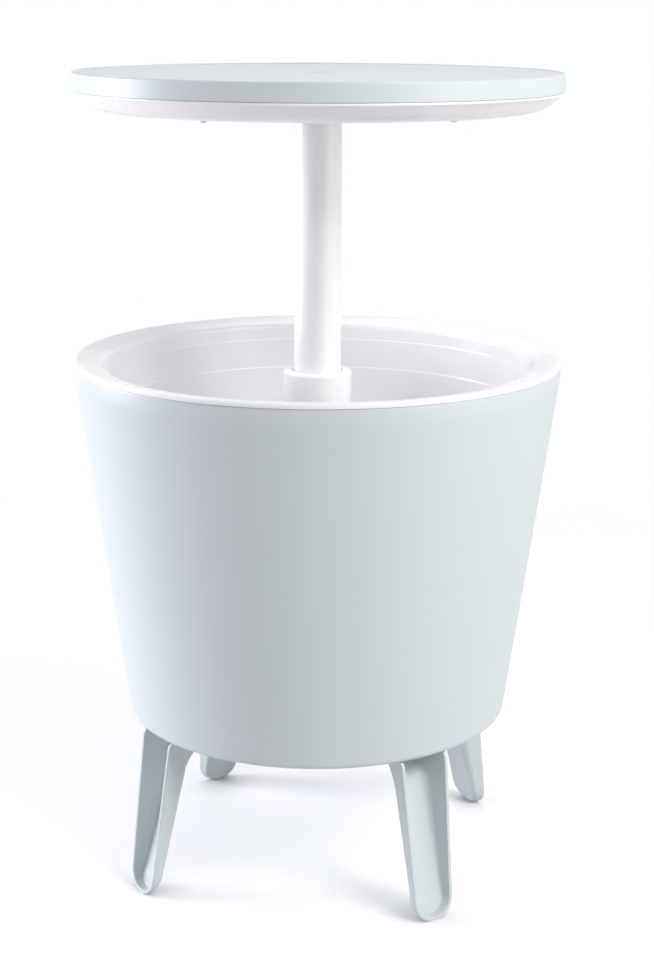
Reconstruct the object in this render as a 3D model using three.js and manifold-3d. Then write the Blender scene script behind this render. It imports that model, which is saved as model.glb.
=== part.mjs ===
// Ice bucket coffee table: a round top lifts on a pole out of a deep bucket,
// and the bucket stands on four splayed channel legs.
// Millimetres, +Z up, floor at zero, shown with the top raised.
import * as THREE from 'three';
import { mergeVertices } from 'three/addons/utils/BufferGeometryUtils.js';
import Module from 'manifold-3d';

const wasm = await Module();
wasm.setup();

// Colours
const paleGrey = 0xd0d9db;
const moulded = 0xf0f1f3;
const steel = 0xb4b8bc;
const rubber = 0x2c2d2f;

// Facets round each kind of form
const bodyFacets = 36;
const poleFacets = 24;
const fittingFacets = 16;
const screwFacets = 6;
const cornerSteps = 3;
const filletSteps = 2;
const hiddenSteps = 1;
const hexSides = 6;
const mergeTolerance = 0.0001;

// Fits
const seatGap = 0.3;
const runningGap = 0.4;
const looseGap = 0.6;
const cutMargin = 2;

// Heights of the whole table and the lift of its top
const raisedHeight = 840;
const liftTravel = 257.6;

// Outer shell
const shellTop = 546;
const shellTopRadius = 251.4;
const shellTopBand = 14;
const shellBottom = 170;
const shellWallFootRadius = 202.5;
const shellCornerRadius = 7.5;
const shellWall = 3.5;
const shellFootBandInner = 146;
const shellFootStep = 6;

// Twist collar on the tower
const collarRadius = 35.75;
const collarTop = 535.5;
const collarHeight = 38;
const collarRoof = 20.1;
const collarEdgeRadius = 3;
const keyDepth = 1.4;
const keyWidth = 4;
const keyEndInset = 2;

// Liner: rim, wall with two ledges, floor and centre tower
const lipOverhang = 0.8;
const lipRadius = shellTopRadius + lipOverhang;
const rimTop = 552;
const rimWidth = 30;
const rimDrop = 10;
const rimShares = [[0, 0.26], [0.03, 0.1], [0.09, 0.01], [0.19, 0], [0.5, 0.19],
  [0.87, 0.5], [0.97, 0.68], [1, 1]];
const rimUnderShares = [[0, 0], [0.19, 0], [0.87, 0.5], [1, 1]];
const linerWall = 3;
const insulationGap = 12.6;
const ledgeHeights = [529, 497];
const ledgeStep = 1.2;
const floorTop = 320;
const floorCornerRadius = 14;
const towerTop = collarTop - collarHeight - seatGap;
const towerTopRadius = 35.6;
const towerFootRadius = 38.5;
const towerFootFillet = 10;
const skirtDrop = 8;
const skirtWall = 2.6;
const skirtInset = 5.3;
const sumpRadius = 22.5;
const sumpDepth = 3;
const sumpBossRadius = 27;
const sumpBossDrop = 7;

// Sleeve that guides the foot of the pole
const sleeveRadius = 31.5;
const sleeveBoreRadius = 29.4;
const sleeveTop = collarTop - collarRoof - runningGap;
const sleeveLip = 5;
const sleeveLipBoreRadius = 24;
const sleeveFlangeRadius = 50;
const sleeveFlangeTop = 304;
const sleeveFlangeThickness = 4;
const sleeveBead = 0.8;
const sleeveBeadHeight = 3.2;
const sleeveBeadDrop = 8.5;
const sleeveBeadLevel = sleeveTop - sleeveBeadDrop;
const sleeveScrewCircle = 43;
const sleeveScrewCount = 4;

// Pole with its key grooves, head and foot
const poleRadius = 24.5;
const poleWall = 3.2;
const poleSeatDepth = 37;
const poleBottom = sleeveTop - poleSeatDepth;
const grooveDepth = 1.6;
const grooveTopGap = 3.3;
const footRadius = 29;
const footFloor = 5.7;
const footEdge = 0.8;
const footSpigotHeight = 17;
const headFlangeRadius = 46;
const headFlangeThickness = 4;
const headHubRadius = 18;
const headSpigotLength = 38;
const headSpigotWall = 4.4;
const headSpigotRoof = 9;
const headScrewCircle = 36;
const headScrewCount = 4;
const headBossRadius = 5;
const headBossHeight = 9;

// Tie rod through the pole, with washer, nut and the cap over its head
const rodRadius = 4;
const rodHeadRadius = 6.5;
const rodHeadHeight = 3;
const rodNutRadius = 7;
const rodNutHeight = 6.2;
const rodTail = 2;
const washerRadius = 10;
const washerThickness = 1.2;
const capRecessRadius = 15;
const capRecessDepth = 8;
const capSunk = 0.6;
const capThickness = 2;
const capSkirt = 3.7;
const capSkirtWall = 2.4;

// Table top
const topRadius = 247.5;
const bandHeight = 18.5;
const topEdgeRadius = 2;
const raisedRimWidth = 2.5;
const raisedRimSlope = 1;
const raisedRimRise = 1.2;
const topWall = 3.3;
const ribThickness = 2.4;
const ribHeight = 8;
const ribCount = 8;
const ribRingRadius = 105;
const ribInnerRadius = 24;
const ribOuterInset = 4;
const pillarRadius = 5.5;
const pillarHoleDepth = 14;

// Pan under the table top
const panFlangeInset = 0.7;
const panWall = 2.5;
const panDepth = 20;
const panShares = [[0.983, 0.175], [0.9657, 0.38], [0.9434, 0.62], [0.9172, 0.8],
  [0.8485, 1]];
const panRingHeight = 7;
const panRingWall = 2.6;
const panScrewCircle = 169;
const panScrewCount = 4;
const panScrewTurn = -28.3;
const panBossRadius = 6;
const panBossDrop = 3;

// Screws
const screwRadius = 1.7;
const screwHeadRadius = 4;
const screwHeadHeight = 2;
const legScrewHeadRadius = 4.2;
const legScrewHeadHeight = 2.4;
const legScrewReach = 14;
const screwReach = 12;

// Drain
const drainOffset = 120;
const spoutRadius = 12;
const spoutBoreRadius = 9.5;
const spoutFlangeRadius = 19.5;
const spoutFlangeThickness = 2;
const spoutDrop = 4;
const spoutBottom = shellBottom - spoutDrop;
const drainNutRadius = 18;
const drainNutHeight = 5.4;
const plugKnobRadius = 15.5;
const plugKnobHeight = 9.5;
const plugFluteDepth = 1;
const plugFlutes = 8;
const plugSpigotLength = 10;
const sealWall = 2.4;
const sealThickness = 0.9;

// Legs
const legCount = 4;
const firstLegTurn = 45;
const legTopInset = 3.8;
const legSplay = 0.1319;
const legTopWidth = 57.6;
const legEndRadius = 23.8;
const legSole = 1;
const legWall = 4;
const legBackWall = 3.5;
const legDepthAtFloor = 11.4;
const legDepthAtTop = 36.3;
const legCornerShare = 0.44;
const legDraft = 0.21;
const legFlareDepth = 15.5;
const legFlareHeight = 35;
const legTopEase = 5;
const legTopEaseHeight = 6;
const legPlate = 4;
const legPlateInset = 14;
const legArcSteps = 5;
const legCornerAngles = [0, 45, 90];
const legSideShares = [0.4, 0.765, 0.835, 0.9, 0.96, 0.985, 1];
const legScrewInset = 21.2;
const legScrewSpread = 13;
const bossRadius = 6;
const bossHeight = 13;

// Turn of the key grooves and of the collar keys about the pole
const keyTurn = 11.3;

const radians = THREE.MathUtils.degToRad;

// Joining and cutting of closed solids

function signedVolume(positions, triangles) {
  const a = new THREE.Vector3();
  const b = new THREE.Vector3();
  const c = new THREE.Vector3();
  let total = 0;
  for (let i = 0; i < triangles.length; i += 3) {
    a.fromArray(positions, triangles[i] * 3);
    b.fromArray(positions, triangles[i + 1] * 3);
    c.fromArray(positions, triangles[i + 2] * 3);
    total += a.dot(b.cross(c));
  }
  return total;
}

function toSolid(geometry) {
  const bare = new THREE.BufferGeometry();
  bare.setAttribute('position', geometry.getAttribute('position').clone());
  if (geometry.index) bare.setIndex(geometry.index.clone());
  const welded = mergeVertices(bare, mergeTolerance);
  const positions = new Float32Array(welded.getAttribute('position').array);
  const triangles = [];
  const corners = welded.index.array;
  for (let i = 0; i < corners.length; i += 3) {
    const [p, q, r] = [corners[i], corners[i + 1], corners[i + 2]];
    if (p !== q && q !== r && r !== p) triangles.push(p, q, r);
  }
  if (signedVolume(positions, triangles) < 0) triangles.reverse();
  const mesh = new wasm.Mesh({
    numProp: 3, vertProperties: positions, triVerts: new Uint32Array(triangles),
  });
  return new wasm.Manifold(mesh);
}

function toGeometry(solid) {
  const mesh = solid.getMesh();
  const geometry = new THREE.BufferGeometry();
  const positions = new THREE.Float32BufferAttribute(mesh.vertProperties, 3);
  geometry.setAttribute('position', positions);
  geometry.setIndex(Array.from(mesh.triVerts));
  return geometry;
}

function join(...geometries) {
  return toGeometry(geometries.map(toSolid).reduce((all, next) => all.add(next)));
}

function cut(geometry, ...tools) {
  const remaining = tools.map(toSolid).reduce((left, tool) => left.subtract(tool), toSolid(geometry));
  return toGeometry(remaining);
}

function common(first, second) {
  return toGeometry(toSolid(first).intersect(toSolid(second)));
}

// Basic forms, each upright on the Z axis

function revolve(points, facets) {
  const profile = points.map(([radius, height]) => new THREE.Vector2(radius, height));
  if (points[0][0] > 0) profile.push(profile[0].clone());
  return new THREE.LatheGeometry(profile, facets).rotateX(Math.PI / 2);
}

function tube(outer, inner, low, high, facets) {
  return revolve([[inner, low], [outer, low], [outer, high], [inner, high]], facets);
}

function rod(radius, low, high, facets) {
  return revolve([[0, low], [radius, low], [radius, high], [0, high]], facets);
}

function block(width, depth, low, high) {
  const box = new THREE.BoxGeometry(width, depth, high - low);
  return box.translate(0, 0, (high + low) / 2);
}

function prism(radii, low, high) {
  const shape = new THREE.Shape();
  radii.forEach((radius, i) => {
    const angle = (2 * Math.PI * i) / radii.length;
    const corner = [radius * Math.cos(angle), radius * Math.sin(angle)];
    if (i === 0) shape.moveTo(...corner);
    else shape.lineTo(...corner);
  });
  shape.closePath();
  const solid = new THREE.ExtrudeGeometry(shape, { depth: high - low, bevelEnabled: false });
  return solid.translate(0, 0, low);
}

function hexagon(radius, low, high) {
  return prism(Array(hexSides).fill(radius), low, high);
}

// An arc of profile points about a centre, angles in degrees
function arc(centreRadius, centreHeight, radius, from, to, steps = cornerSteps) {
  return Array.from({ length: steps + 1 }, (_, i) => {
    const angle = radians(from + ((to - from) * i) / steps);
    return [centreRadius + radius * Math.cos(angle), centreHeight + radius * Math.sin(angle)];
  });
}

// The line that runs beside a profile at one distance, to the left of its course
function beside(points, distance) {
  const normals = points.slice(1).map(([r, z], i) => {
    const [r0, z0] = points[i];
    const length = Math.hypot(r - r0, z - z0);
    return [-(z - z0) / length, (r - r0) / length];
  });
  return points.map(([r, z], i) => {
    const before = normals[Math.max(i - 1, 0)];
    const after = normals[Math.min(i, normals.length - 1)];
    const sum = [before[0] + after[0], before[1] + after[1]];
    const reach = (2 * distance) / (sum[0] ** 2 + sum[1] ** 2);
    return [r + sum[0] * reach, z + sum[1] * reach];
  });
}

// A revolved wall: its face, and a back that keeps one thickness to the left of its course
function wall(face, back, thickness, facets) {
  return revolve([...face, ...beside(back, thickness).reverse()], facets);
}

function roundPlaces(count, circle, turn) {
  return Array.from({ length: count }, (_, i) => {
    const angle = radians(turn + (360 * i) / count);
    return new THREE.Vector3(circle * Math.sin(angle), -circle * Math.cos(angle), 0);
  });
}

function atPlaces(places, make) {
  return places.map((place) => make().translate(place.x, place.y, place.z));
}

// The pieces hang in a tree that follows how they are carried

const table = new THREE.Group();
table.name = 'ice_bucket_coffee_table';

function piece(parent, name, geometry, colour, metal = 0) {
  const material = new THREE.MeshStandardMaterial({
    color: colour, metalness: metal, roughness: metal ? 0.35 : 0.5,
  });
  const mesh = new THREE.Mesh(geometry, material);
  mesh.name = name;
  parent.add(mesh);
  return mesh;
}

function branch(parent, name) {
  const group = new THREE.Group();
  group.name = name;
  parent.add(group);
  return group;
}

const stand = branch(table, 'stand');
const collarGroup = branch(table, 'collar');
const lid = branch(table, 'lid');
const plugGroup = branch(table, 'plug');

// A screw driven upwards: the underside of the held part is its head seat
function screw(seat, reach, headRadius, headHeight) {
  const under = seat - seatGap;
  return revolve([
    [0, under - headHeight],
    [headRadius, under - headHeight],
    [headRadius, under],
    [screwRadius, under],
    [screwRadius, seat + reach],
    [0, seat + reach],
  ], screwFacets);
}

function screws(parent, name, places, seat, reach, headRadius, headHeight) {
  places.forEach((place, i) => {
    const mesh = piece(parent, `${name}_${i + 1}`,
      screw(seat, reach, headRadius, headHeight), steel, 1);
    mesh.position.copy(place);
  });
}

const screwHoleRadius = screwRadius + seatGap;

// The foot of the pole, and the level of the sleeve lip that it meets when the top is down
const footBottom = poleBottom - seatGap - footFloor;
const sleeveLipTop = footBottom - liftTravel - seatGap;
const sleeveBottom = sleeveLipTop - sleeveLip;

// Legs: an open channel with a rounded lower end, deeper and flared at its top

const legTop = shellBottom - seatGap;
const legTopRadius = shellWallFootRadius - legTopInset;
const legFootRadius = legTopRadius + legTop * legSplay;
const legScrewCircle = legTopRadius - legScrewInset;
const legEndCentre = legEndRadius - legSole;

function legPlainDepth(height) {
  return legDepthAtFloor + (legDepthAtTop - legDepthAtFloor) * (height / legTop);
}

// The back sweeps out into the flare below the shell
function legDepth(height) {
  const flareStart = legTop - legFlareHeight;
  const into = Math.min(Math.max((height - flareStart) / legFlareHeight, 0), 1);
  return legPlainDepth(height) + legFlareDepth * into ** 2 * (3 - 2 * into);
}

// How far the lip falls back where it rounds over under the shell
function legEase(height) {
  const into = Math.max((height - legTop + legTopEaseHeight) / legTopEaseHeight, 0);
  return legTopEase * (1 - Math.sqrt(1 - Math.min(into, 1) ** 2));
}

function legHalfWidth(height) {
  const share = (height - legEndCentre) / (legTop - legEndCentre);
  return legEndRadius + (legTopWidth / 2 - legEndRadius) * share;
}

// Outline from the top right round the lower end to the top left
function legOutline(extraTop) {
  const side = [...legSideShares].reverse().map((share, i) => {
    const height = legEndCentre + (legTop - legEndCentre) * share + (i === 0 ? extraTop : 0);
    return { across: 1, down: 0, height, round: false };
  });
  const end = Array.from({ length: legArcSteps + 1 }, (_, i) => {
    const angle = (Math.PI / 2) * (i / legArcSteps);
    return { across: Math.cos(angle), down: Math.sin(angle), height: legEndCentre, round: true };
  });
  const right = [...side, ...end];
  const left = right.slice(0, -1).reverse().map((p) => ({ ...p, across: -p.across }));
  return [...right, ...left];
}

// One closed ring of the channel: inset sideways and set back from the lip plane
function legRing(outline, inset, back) {
  return outline.map((p) => {
    const half = p.round ? legEndRadius : legHalfWidth(p.height);
    const lowest = p.height - p.down * legEndRadius;
    const level = Math.min(lowest, legTop);
    const [depth, corner] = [legDepth(level), legCornerShare * legPlainDepth(level)];
    const side = half - inset(depth, corner);
    const height = p.height - p.down * side;
    const radius = legFootRadius - height * legSplay - back(depth, corner, height);
    return new THREE.Vector3(p.across * side, -radius, height);
  });
}

// A closed body through rings of equal length, its two ends closed by level strips
function lofted(rings) {
  const count = rings[0].length;
  const positions = rings.flat().flatMap((p) => [p.x, p.y, p.z]);
  const triangles = [];
  for (let k = 0; k < rings.length - 1; k += 1) {
    for (let i = 0; i < count; i += 1) {
      const j = (i + 1) % count;
      const [a, b] = [k * count + i, k * count + j];
      const [c, d] = [a + count, b + count];
      triangles.push(a, b, d, a, d, c);
    }
  }
  const last = (rings.length - 1) * count;
  for (let i = 0; i < (count - 1) / 2; i += 1) {
    const [a, b, c, d] = [i, i + 1, count - 2 - i, count - 1 - i];
    triangles.push(a, d, b);
    triangles.push(last + a, last + b, last + d);
    if (b !== c) {
      triangles.push(b, d, c);
      triangles.push(last + b, last + c, last + d);
    }
  }
  const geometry = new THREE.BufferGeometry();
  geometry.setAttribute('position', new THREE.Float32BufferAttribute(positions, 3));
  geometry.setIndex(triangles);
  return geometry;
}

function channelBody(outline, offset, front, backOffset) {
  const rings = [legRing(outline, () => offset, front)];
  for (const angle of legCornerAngles.map(radians)) {
    const inset = (depth, corner) => offset + legDraft * (depth - corner)
      + (corner - backOffset) * (1 - Math.cos(angle));
    const back = (depth, corner) => depth - backOffset
      - (corner - backOffset) * (1 - Math.sin(angle));
    rings.push(legRing(outline, inset, back));
  }
  return lofted(rings);
}

const legScrewPlaces = [-legScrewSpread, legScrewSpread].map(
  (across) => new THREE.Vector3(across, -legScrewCircle, 0));

function legGeometry() {
  const lip = (depth, corner, height) => legEase(height);
  const body = channelBody(legOutline(0), 0, lip, 0);
  const hollow = channelBody(legOutline(cutMargin), legWall, () => -cutMargin, legBackWall);
  const reach = legFootRadius * 2;
  const plateSlab = block(reach, reach, legTop - legPlate, legTop);
  plateSlab.translate(0, reach / 2 - legTopRadius + legPlateInset, 0);
  const below = block(reach, reach * 2, -legEndRadius, 0);
  const plate = common(body, plateSlab);
  const holes = atPlaces(legScrewPlaces, () => rod(screwHoleRadius,
    legTop - legPlate - cutMargin, legTop + cutMargin, screwFacets));
  return cut(join(cut(body, hollow), plate), below, ...holes);
}

const legNames = ['front_right', 'back_right', 'back_left', 'front_left'];
const leg = legGeometry();
legNames.forEach((name, i) => {
  const turn = radians(firstLegTurn + (360 * i) / legCount);
  const group = branch(stand, `leg_group_${name}`);
  group.rotation.z = turn;
  piece(group, `leg_${name}`, leg.clone(), paleGrey);
  screws(group, `leg_screw_${name}`, legScrewPlaces, legTop - legPlate, legPlate + legScrewReach,
    legScrewHeadRadius, legScrewHeadHeight);
});

// Outer shell with bosses for the leg screws and a hole for the drain

const shellWallStart = shellBottom + shellCornerRadius;
const shellWallEnd = shellTop - shellTopBand;
const shellLean = (shellTopRadius - shellWallFootRadius) / (shellWallEnd - shellWallStart);
const wallLean = THREE.MathUtils.radToDeg(Math.atan(shellLean));
const drainPlace = new THREE.Vector3(0, drainOffset, 0);
const spoutHoleRadius = spoutRadius + runningGap;

function shellGeometry() {
  const recess = shellBottom + shellFootStep;
  const profile = (steps) => [
    [0, recess],
    [shellFootBandInner - shellFootStep, recess],
    [shellFootBandInner, shellBottom],
    ...arc(shellWallFootRadius - shellCornerRadius, shellBottom + shellCornerRadius,
      shellCornerRadius, -90, -wallLean, steps),
    [shellTopRadius, shellWallEnd],
    [shellTopRadius, shellTop],
  ];
  const shell = wall(profile(cornerSteps), profile(hiddenSteps), shellWall, bodyFacets);
  const bosses = [];
  const holes = [];
  for (let i = 0; i < legCount; i += 1) {
    const turn = radians(firstLegTurn + (360 * i) / legCount);
    for (const place of legScrewPlaces) {
      const spot = place.clone().applyAxisAngle(new THREE.Vector3(0, 0, 1), turn);
      bosses.push(rod(bossRadius, shellBottom + shellWall / 2,
        shellBottom + shellWall + bossHeight, screwFacets).translate(spot.x, spot.y, 0));
      holes.push(rod(screwHoleRadius, shellBottom - cutMargin,
        legTop + legScrewReach + looseGap, screwFacets).translate(spot.x, spot.y, 0));
    }
  }
  const drainHole = rod(spoutHoleRadius, shellBottom - cutMargin,
    recess + shellWall + cutMargin, fittingFacets).translate(0, drainOffset, 0);
  const trimmed = block(lipRadius * 3, lipRadius * 3, shellTop, shellTop + shellWall + cutMargin);
  return cut(join(shell, ...bosses), drainHole, trimmed, ...holes);
}

piece(stand, 'outer_shell', shellGeometry(), paleGrey);

// Liner: a rim that lies on the shell, the ledged wall, the floor and the tower

const rimInnerRadius = lipRadius - rimWidth;
const wallTopHeight = rimTop - rimDrop;
const sleevePlaces = roundPlaces(sleeveScrewCount, sleeveScrewCircle, firstLegTurn);

// The liner's wall leans so that its foot keeps clear of the shell around it
const linerFootHeight = floorTop + floorCornerRadius;
const shellRadiusAtFoot = shellWallFootRadius + shellLean * (linerFootHeight - shellWallStart);
const linerFootRadius = shellRadiusAtFoot - shellWall - insulationGap - linerWall;
const linerTaper = (rimInnerRadius - ledgeStep * ledgeHeights.length - linerFootRadius)
  / (wallTopHeight - linerFootHeight);

function linerWallRadius(height, ledgesPassed) {
  return rimInnerRadius - (wallTopHeight - height) * linerTaper - ledgesPassed * ledgeStep;
}

function linerGeometry() {
  const lipBottom = shellTop + seatGap;
  const rim = (shares) => shares.map(([across, down]) => [lipRadius - rimWidth * across,
    rimTop - rimDrop * down]);
  const ledges = ledgeHeights.flatMap((height, i) => [
    [linerWallRadius(height + ledgeStep, i), height + ledgeStep],
    [linerWallRadius(height, i + 1), height],
  ]);
  const profile = (rimPoints, wallPoints, steps) => [
    [lipRadius, lipBottom],
    ...rim(rimPoints),
    ...wallPoints,
    ...arc(linerFootRadius - floorCornerRadius, linerFootHeight, floorCornerRadius, 0, -90, steps),
    ...arc(towerFootRadius + towerFootFillet, floorTop + towerFootFillet,
      towerFootFillet, -90, -180, steps),
    [towerTopRadius, towerTop],
  ];
  const shell = wall(profile(rimShares, ledges, filletSteps),
    profile(rimUnderShares, [], hiddenSteps), linerWall, bodyFacets);
  const skirtRadius = shellTopRadius - skirtInset;
  const skirt = tube(skirtRadius, skirtRadius - skirtWall, lipBottom - skirtDrop,
    rimTop - linerWall / 2 - rimDrop * rimShares[1][1], bodyFacets);
  const underside = floorTop - linerWall;
  const boss = rod(sumpBossRadius, floorTop - sumpBossDrop, underside + linerWall / 2,
    fittingFacets).translate(0, drainOffset, 0);
  const sump = rod(sumpRadius, floorTop - sumpDepth, floorTop + cutMargin,
    fittingFacets).translate(0, drainOffset, 0);
  const drainHole = rod(spoutHoleRadius, floorTop - sumpBossDrop - cutMargin,
    floorTop + cutMargin, fittingFacets).translate(0, drainOffset, 0);
  const seat = sleeveFlangeTop + seatGap;
  const posts = atPlaces(sleevePlaces, () => rod(pillarRadius, seat,
    underside + linerWall / 2, screwFacets));
  const holes = atPlaces(sleevePlaces, () => rod(screwHoleRadius, seat - cutMargin,
    sleeveFlangeTop + screwReach + looseGap, screwFacets));
  const trimmed = block(towerFootRadius * 2, towerFootRadius * 2, towerTop, rimTop);
  return cut(join(shell, skirt, boss, ...posts), sump, drainHole, trimmed, ...holes);
}

piece(stand, 'inner_liner', linerGeometry(), moulded);

// Guide sleeve inside the tower, screwed under the liner floor

function sleeveGeometry() {
  const flangeBottom = sleeveFlangeTop - sleeveFlangeThickness;
  const beadLow = sleeveBeadLevel - sleeveBeadHeight / 2;
  const beadHigh = sleeveBeadLevel + sleeveBeadHeight / 2;
  const profile = [
    [sleeveLipBoreRadius, sleeveBottom],
    [sleeveRadius, sleeveBottom],
    [sleeveRadius, flangeBottom],
    [sleeveFlangeRadius, flangeBottom],
    [sleeveFlangeRadius, sleeveFlangeTop],
    [sleeveRadius, sleeveFlangeTop],
    [sleeveRadius, beadLow],
    [sleeveRadius + sleeveBead, beadLow + sleeveBead],
    [sleeveRadius + sleeveBead, beadHigh - sleeveBead],
    [sleeveRadius, beadHigh],
    [sleeveRadius, sleeveTop],
    [sleeveBoreRadius, sleeveTop],
    [sleeveBoreRadius, sleeveLipTop],
    [sleeveLipBoreRadius, sleeveLipTop],
  ];
  const holes = atPlaces(sleevePlaces, () => rod(screwHoleRadius, flangeBottom - cutMargin,
    sleeveFlangeTop + cutMargin, screwFacets));
  return cut(revolve(profile, poleFacets), ...holes);
}

piece(stand, 'pole_guide_sleeve', sleeveGeometry(), moulded);
screws(stand, 'sleeve_screw', sleevePlaces, sleeveFlangeTop - sleeveFlangeThickness,
  sleeveFlangeThickness + screwReach, screwHeadRadius, screwHeadHeight);

// Drain spout through both floors, its two nuts, and the plug with its seal

function spoutGeometry() {
  const seat = floorTop - sumpDepth + seatGap;
  return revolve([
    [spoutBoreRadius, spoutBottom],
    [spoutRadius, spoutBottom],
    [spoutRadius, seat],
    [spoutFlangeRadius, seat],
    [spoutFlangeRadius, seat + spoutFlangeThickness],
    [spoutBoreRadius, seat + spoutFlangeThickness],
  ], fittingFacets);
}

function drainNut(seat) {
  const top = seat - seatGap;
  const bore = rod(spoutRadius + seatGap, top - drainNutHeight - cutMargin,
    top + cutMargin, fittingFacets);
  return cut(hexagon(drainNutRadius, top - drainNutHeight, top), bore);
}

const spout = piece(stand, 'drain_spout', spoutGeometry(), moulded);
const linerNut = piece(stand, 'drain_nut_liner', drainNut(floorTop - sumpBossDrop), moulded);
const shellNut = piece(stand, 'drain_nut_shell', drainNut(shellBottom + shellFootStep), moulded);
for (const mesh of [spout, linerNut, shellNut]) mesh.position.copy(drainPlace);

function plugGeometry() {
  const knobTop = spoutBottom - sealThickness - seatGap * 2;
  const radii = Array.from({ length: plugFlutes * 2 },
    (_, i) => plugKnobRadius - (i % 2) * plugFluteDepth);
  const knob = prism(radii, knobTop - plugKnobHeight, knobTop);
  const spigot = rod(spoutBoreRadius - runningGap, knobTop - plugKnobHeight / 2,
    knobTop + plugSpigotLength, fittingFacets);
  const coin = block(plugKnobRadius * 2 - plugFluteDepth * 4, plugFluteDepth * 2,
    knobTop - plugKnobHeight - cutMargin, knobTop - plugKnobHeight + plugFluteDepth * 2);
  return cut(join(knob, spigot), coin);
}

const plug = piece(plugGroup, 'drain_plug', plugGeometry(), moulded);
const sealBottom = spoutBottom - sealThickness - seatGap;
const seal = piece(plugGroup, 'drain_seal', tube(spoutBoreRadius + sealWall, spoutBoreRadius,
  sealBottom, sealBottom + sealThickness, fittingFacets), rubber);
plug.position.copy(drainPlace);
seal.position.copy(drainPlace);

// Twist collar: turns on the top of the sleeve, its keys run in the pole grooves

function collarGeometry() {
  const bottom = towerTop + seatGap;
  const shoulder = sleeveTop + runningGap;
  const bore = poleRadius + runningGap;
  const sleeveBore = sleeveRadius + runningGap;
  const half = sleeveBeadHeight / 2 + looseGap;
  const deep = sleeveBore + sleeveBead;
  const profile = [
    [sleeveBore, bottom],
    [collarRadius, bottom],
    ...arc(collarRadius - collarEdgeRadius, collarTop - collarEdgeRadius,
      collarEdgeRadius, 0, 90),
    [bore + runningGap, collarTop],
    [bore, collarTop - runningGap],
    [bore, shoulder],
    [sleeveBore, shoulder],
    [sleeveBore, sleeveBeadLevel + half],
    [deep, sleeveBeadLevel + half - sleeveBead],
    [deep, sleeveBeadLevel - half + sleeveBead],
    [sleeveBore, sleeveBeadLevel - half],
  ];
  const keys = [-1, 1].map((side) => block(keyDepth * 2, keyWidth, shoulder + keyEndInset,
    collarTop - keyEndInset).translate(side * bore, 0, 0));
  return join(revolve(profile, poleFacets), ...keys);
}

const collar = piece(collarGroup, 'lock_collar', collarGeometry(), moulded);
collar.rotation.z = radians(keyTurn);

// Lid heights, from the top down

const topSurface = raisedHeight - raisedRimRise;
const recessFloor = topSurface - capRecessDepth;
const bandBottom = raisedHeight - bandHeight;
const panBottom = bandBottom - panDepth;
const panFloor = panBottom + panWall;
const headSeat = panFloor + seatGap;
const poleTop = headSeat - seatGap;
const rodHoleRadius = rodRadius + runningGap;
const poleBoreRadius = poleRadius - poleWall;
const panPlaces = roundPlaces(panScrewCount, panScrewCircle, panScrewTurn);
const headPlaces = roundPlaces(headScrewCount, headScrewCircle, firstLegTurn);

// Table top: a dished plate with a deep band, ribs and screw pillars below

function topGeometry() {
  const edge = topRadius - topEdgeRadius;
  const centre = [
    [capRecessRadius, topSurface],
    [capRecessRadius, recessFloor],
    [rodHoleRadius, recessFloor],
  ];
  const profile = [
    [topRadius, bandBottom],
    ...arc(edge, raisedHeight - topEdgeRadius, topEdgeRadius, 0, 90),
    [edge - raisedRimWidth, raisedHeight],
    [edge - raisedRimWidth - raisedRimSlope, topSurface],
    ...centre,
  ];
  const underside = [[topRadius, bandBottom], [topRadius, topSurface], ...centre];
  const plate = wall(profile, underside, topWall, bodyFacets);
  const ribTop = topSurface - topWall / 2;
  const ribBottom = topSurface - topWall - ribHeight;
  const outer = topRadius - topWall - ribOuterInset;
  const spokes = Array.from({ length: ribCount }, (_, i) => {
    const spoke = block(outer - ribInnerRadius, ribThickness, ribBottom, ribTop);
    spoke.translate((outer + ribInnerRadius) / 2, 0, 0);
    return spoke.rotateZ((2 * Math.PI * i) / ribCount);
  });
  const hoops = [ribRingRadius, ribInnerRadius + ribThickness].map((radius) => tube(radius,
    radius - ribThickness, ribBottom, ribTop, poleFacets));
  const pillarFoot = panFloor + seatGap;
  const pillars = atPlaces(panPlaces, () => rod(pillarRadius, pillarFoot, ribTop, screwFacets));
  const holes = atPlaces(panPlaces, () => rod(screwHoleRadius, pillarFoot - cutMargin,
    pillarFoot + pillarHoleDepth, screwFacets));
  return cut(join(plate, ...spokes, ...hoops, ...pillars), ...holes);
}

piece(lid, 'table_top', topGeometry(), paleGrey);

// Pan: the white dish that closes the table top from below

function panGeometry() {
  const flangeRadius = topRadius - panFlangeInset;
  const flangeBottom = bandBottom - seatGap - panWall;
  const poleHole = poleRadius + runningGap;
  const profile = [
    [flangeRadius, flangeBottom],
    ...panShares.map(([across, down]) => [topRadius * across, bandBottom - panDepth * down]),
    [poleHole, panBottom],
  ];
  const dish = wall(profile, profile, -panWall, bodyFacets);
  const ringRadius = topRadius - topWall - runningGap;
  const ring = tube(ringRadius, ringRadius - panRingWall, bandBottom - seatGap - panWall / 2,
    bandBottom + panRingHeight, bodyFacets);
  const bosses = atPlaces(panPlaces, () => rod(panBossRadius, panBottom - panBossDrop,
    panBottom + panWall / 2, screwFacets));
  const holes = atPlaces([...panPlaces, ...headPlaces], () => rod(screwHoleRadius,
    panBottom - panBossDrop - cutMargin, panFloor + cutMargin, screwFacets));
  return cut(join(dish, ring, ...bosses), ...holes);
}

piece(lid, 'top_pan', panGeometry(), moulded);
screws(lid, 'pan_screw', panPlaces, panBottom - panBossDrop, panBossDrop + screwReach,
  screwHeadRadius, screwHeadHeight);

// Pole head: a flange above the pan, a hub under the table top, a spigot in the pole

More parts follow.
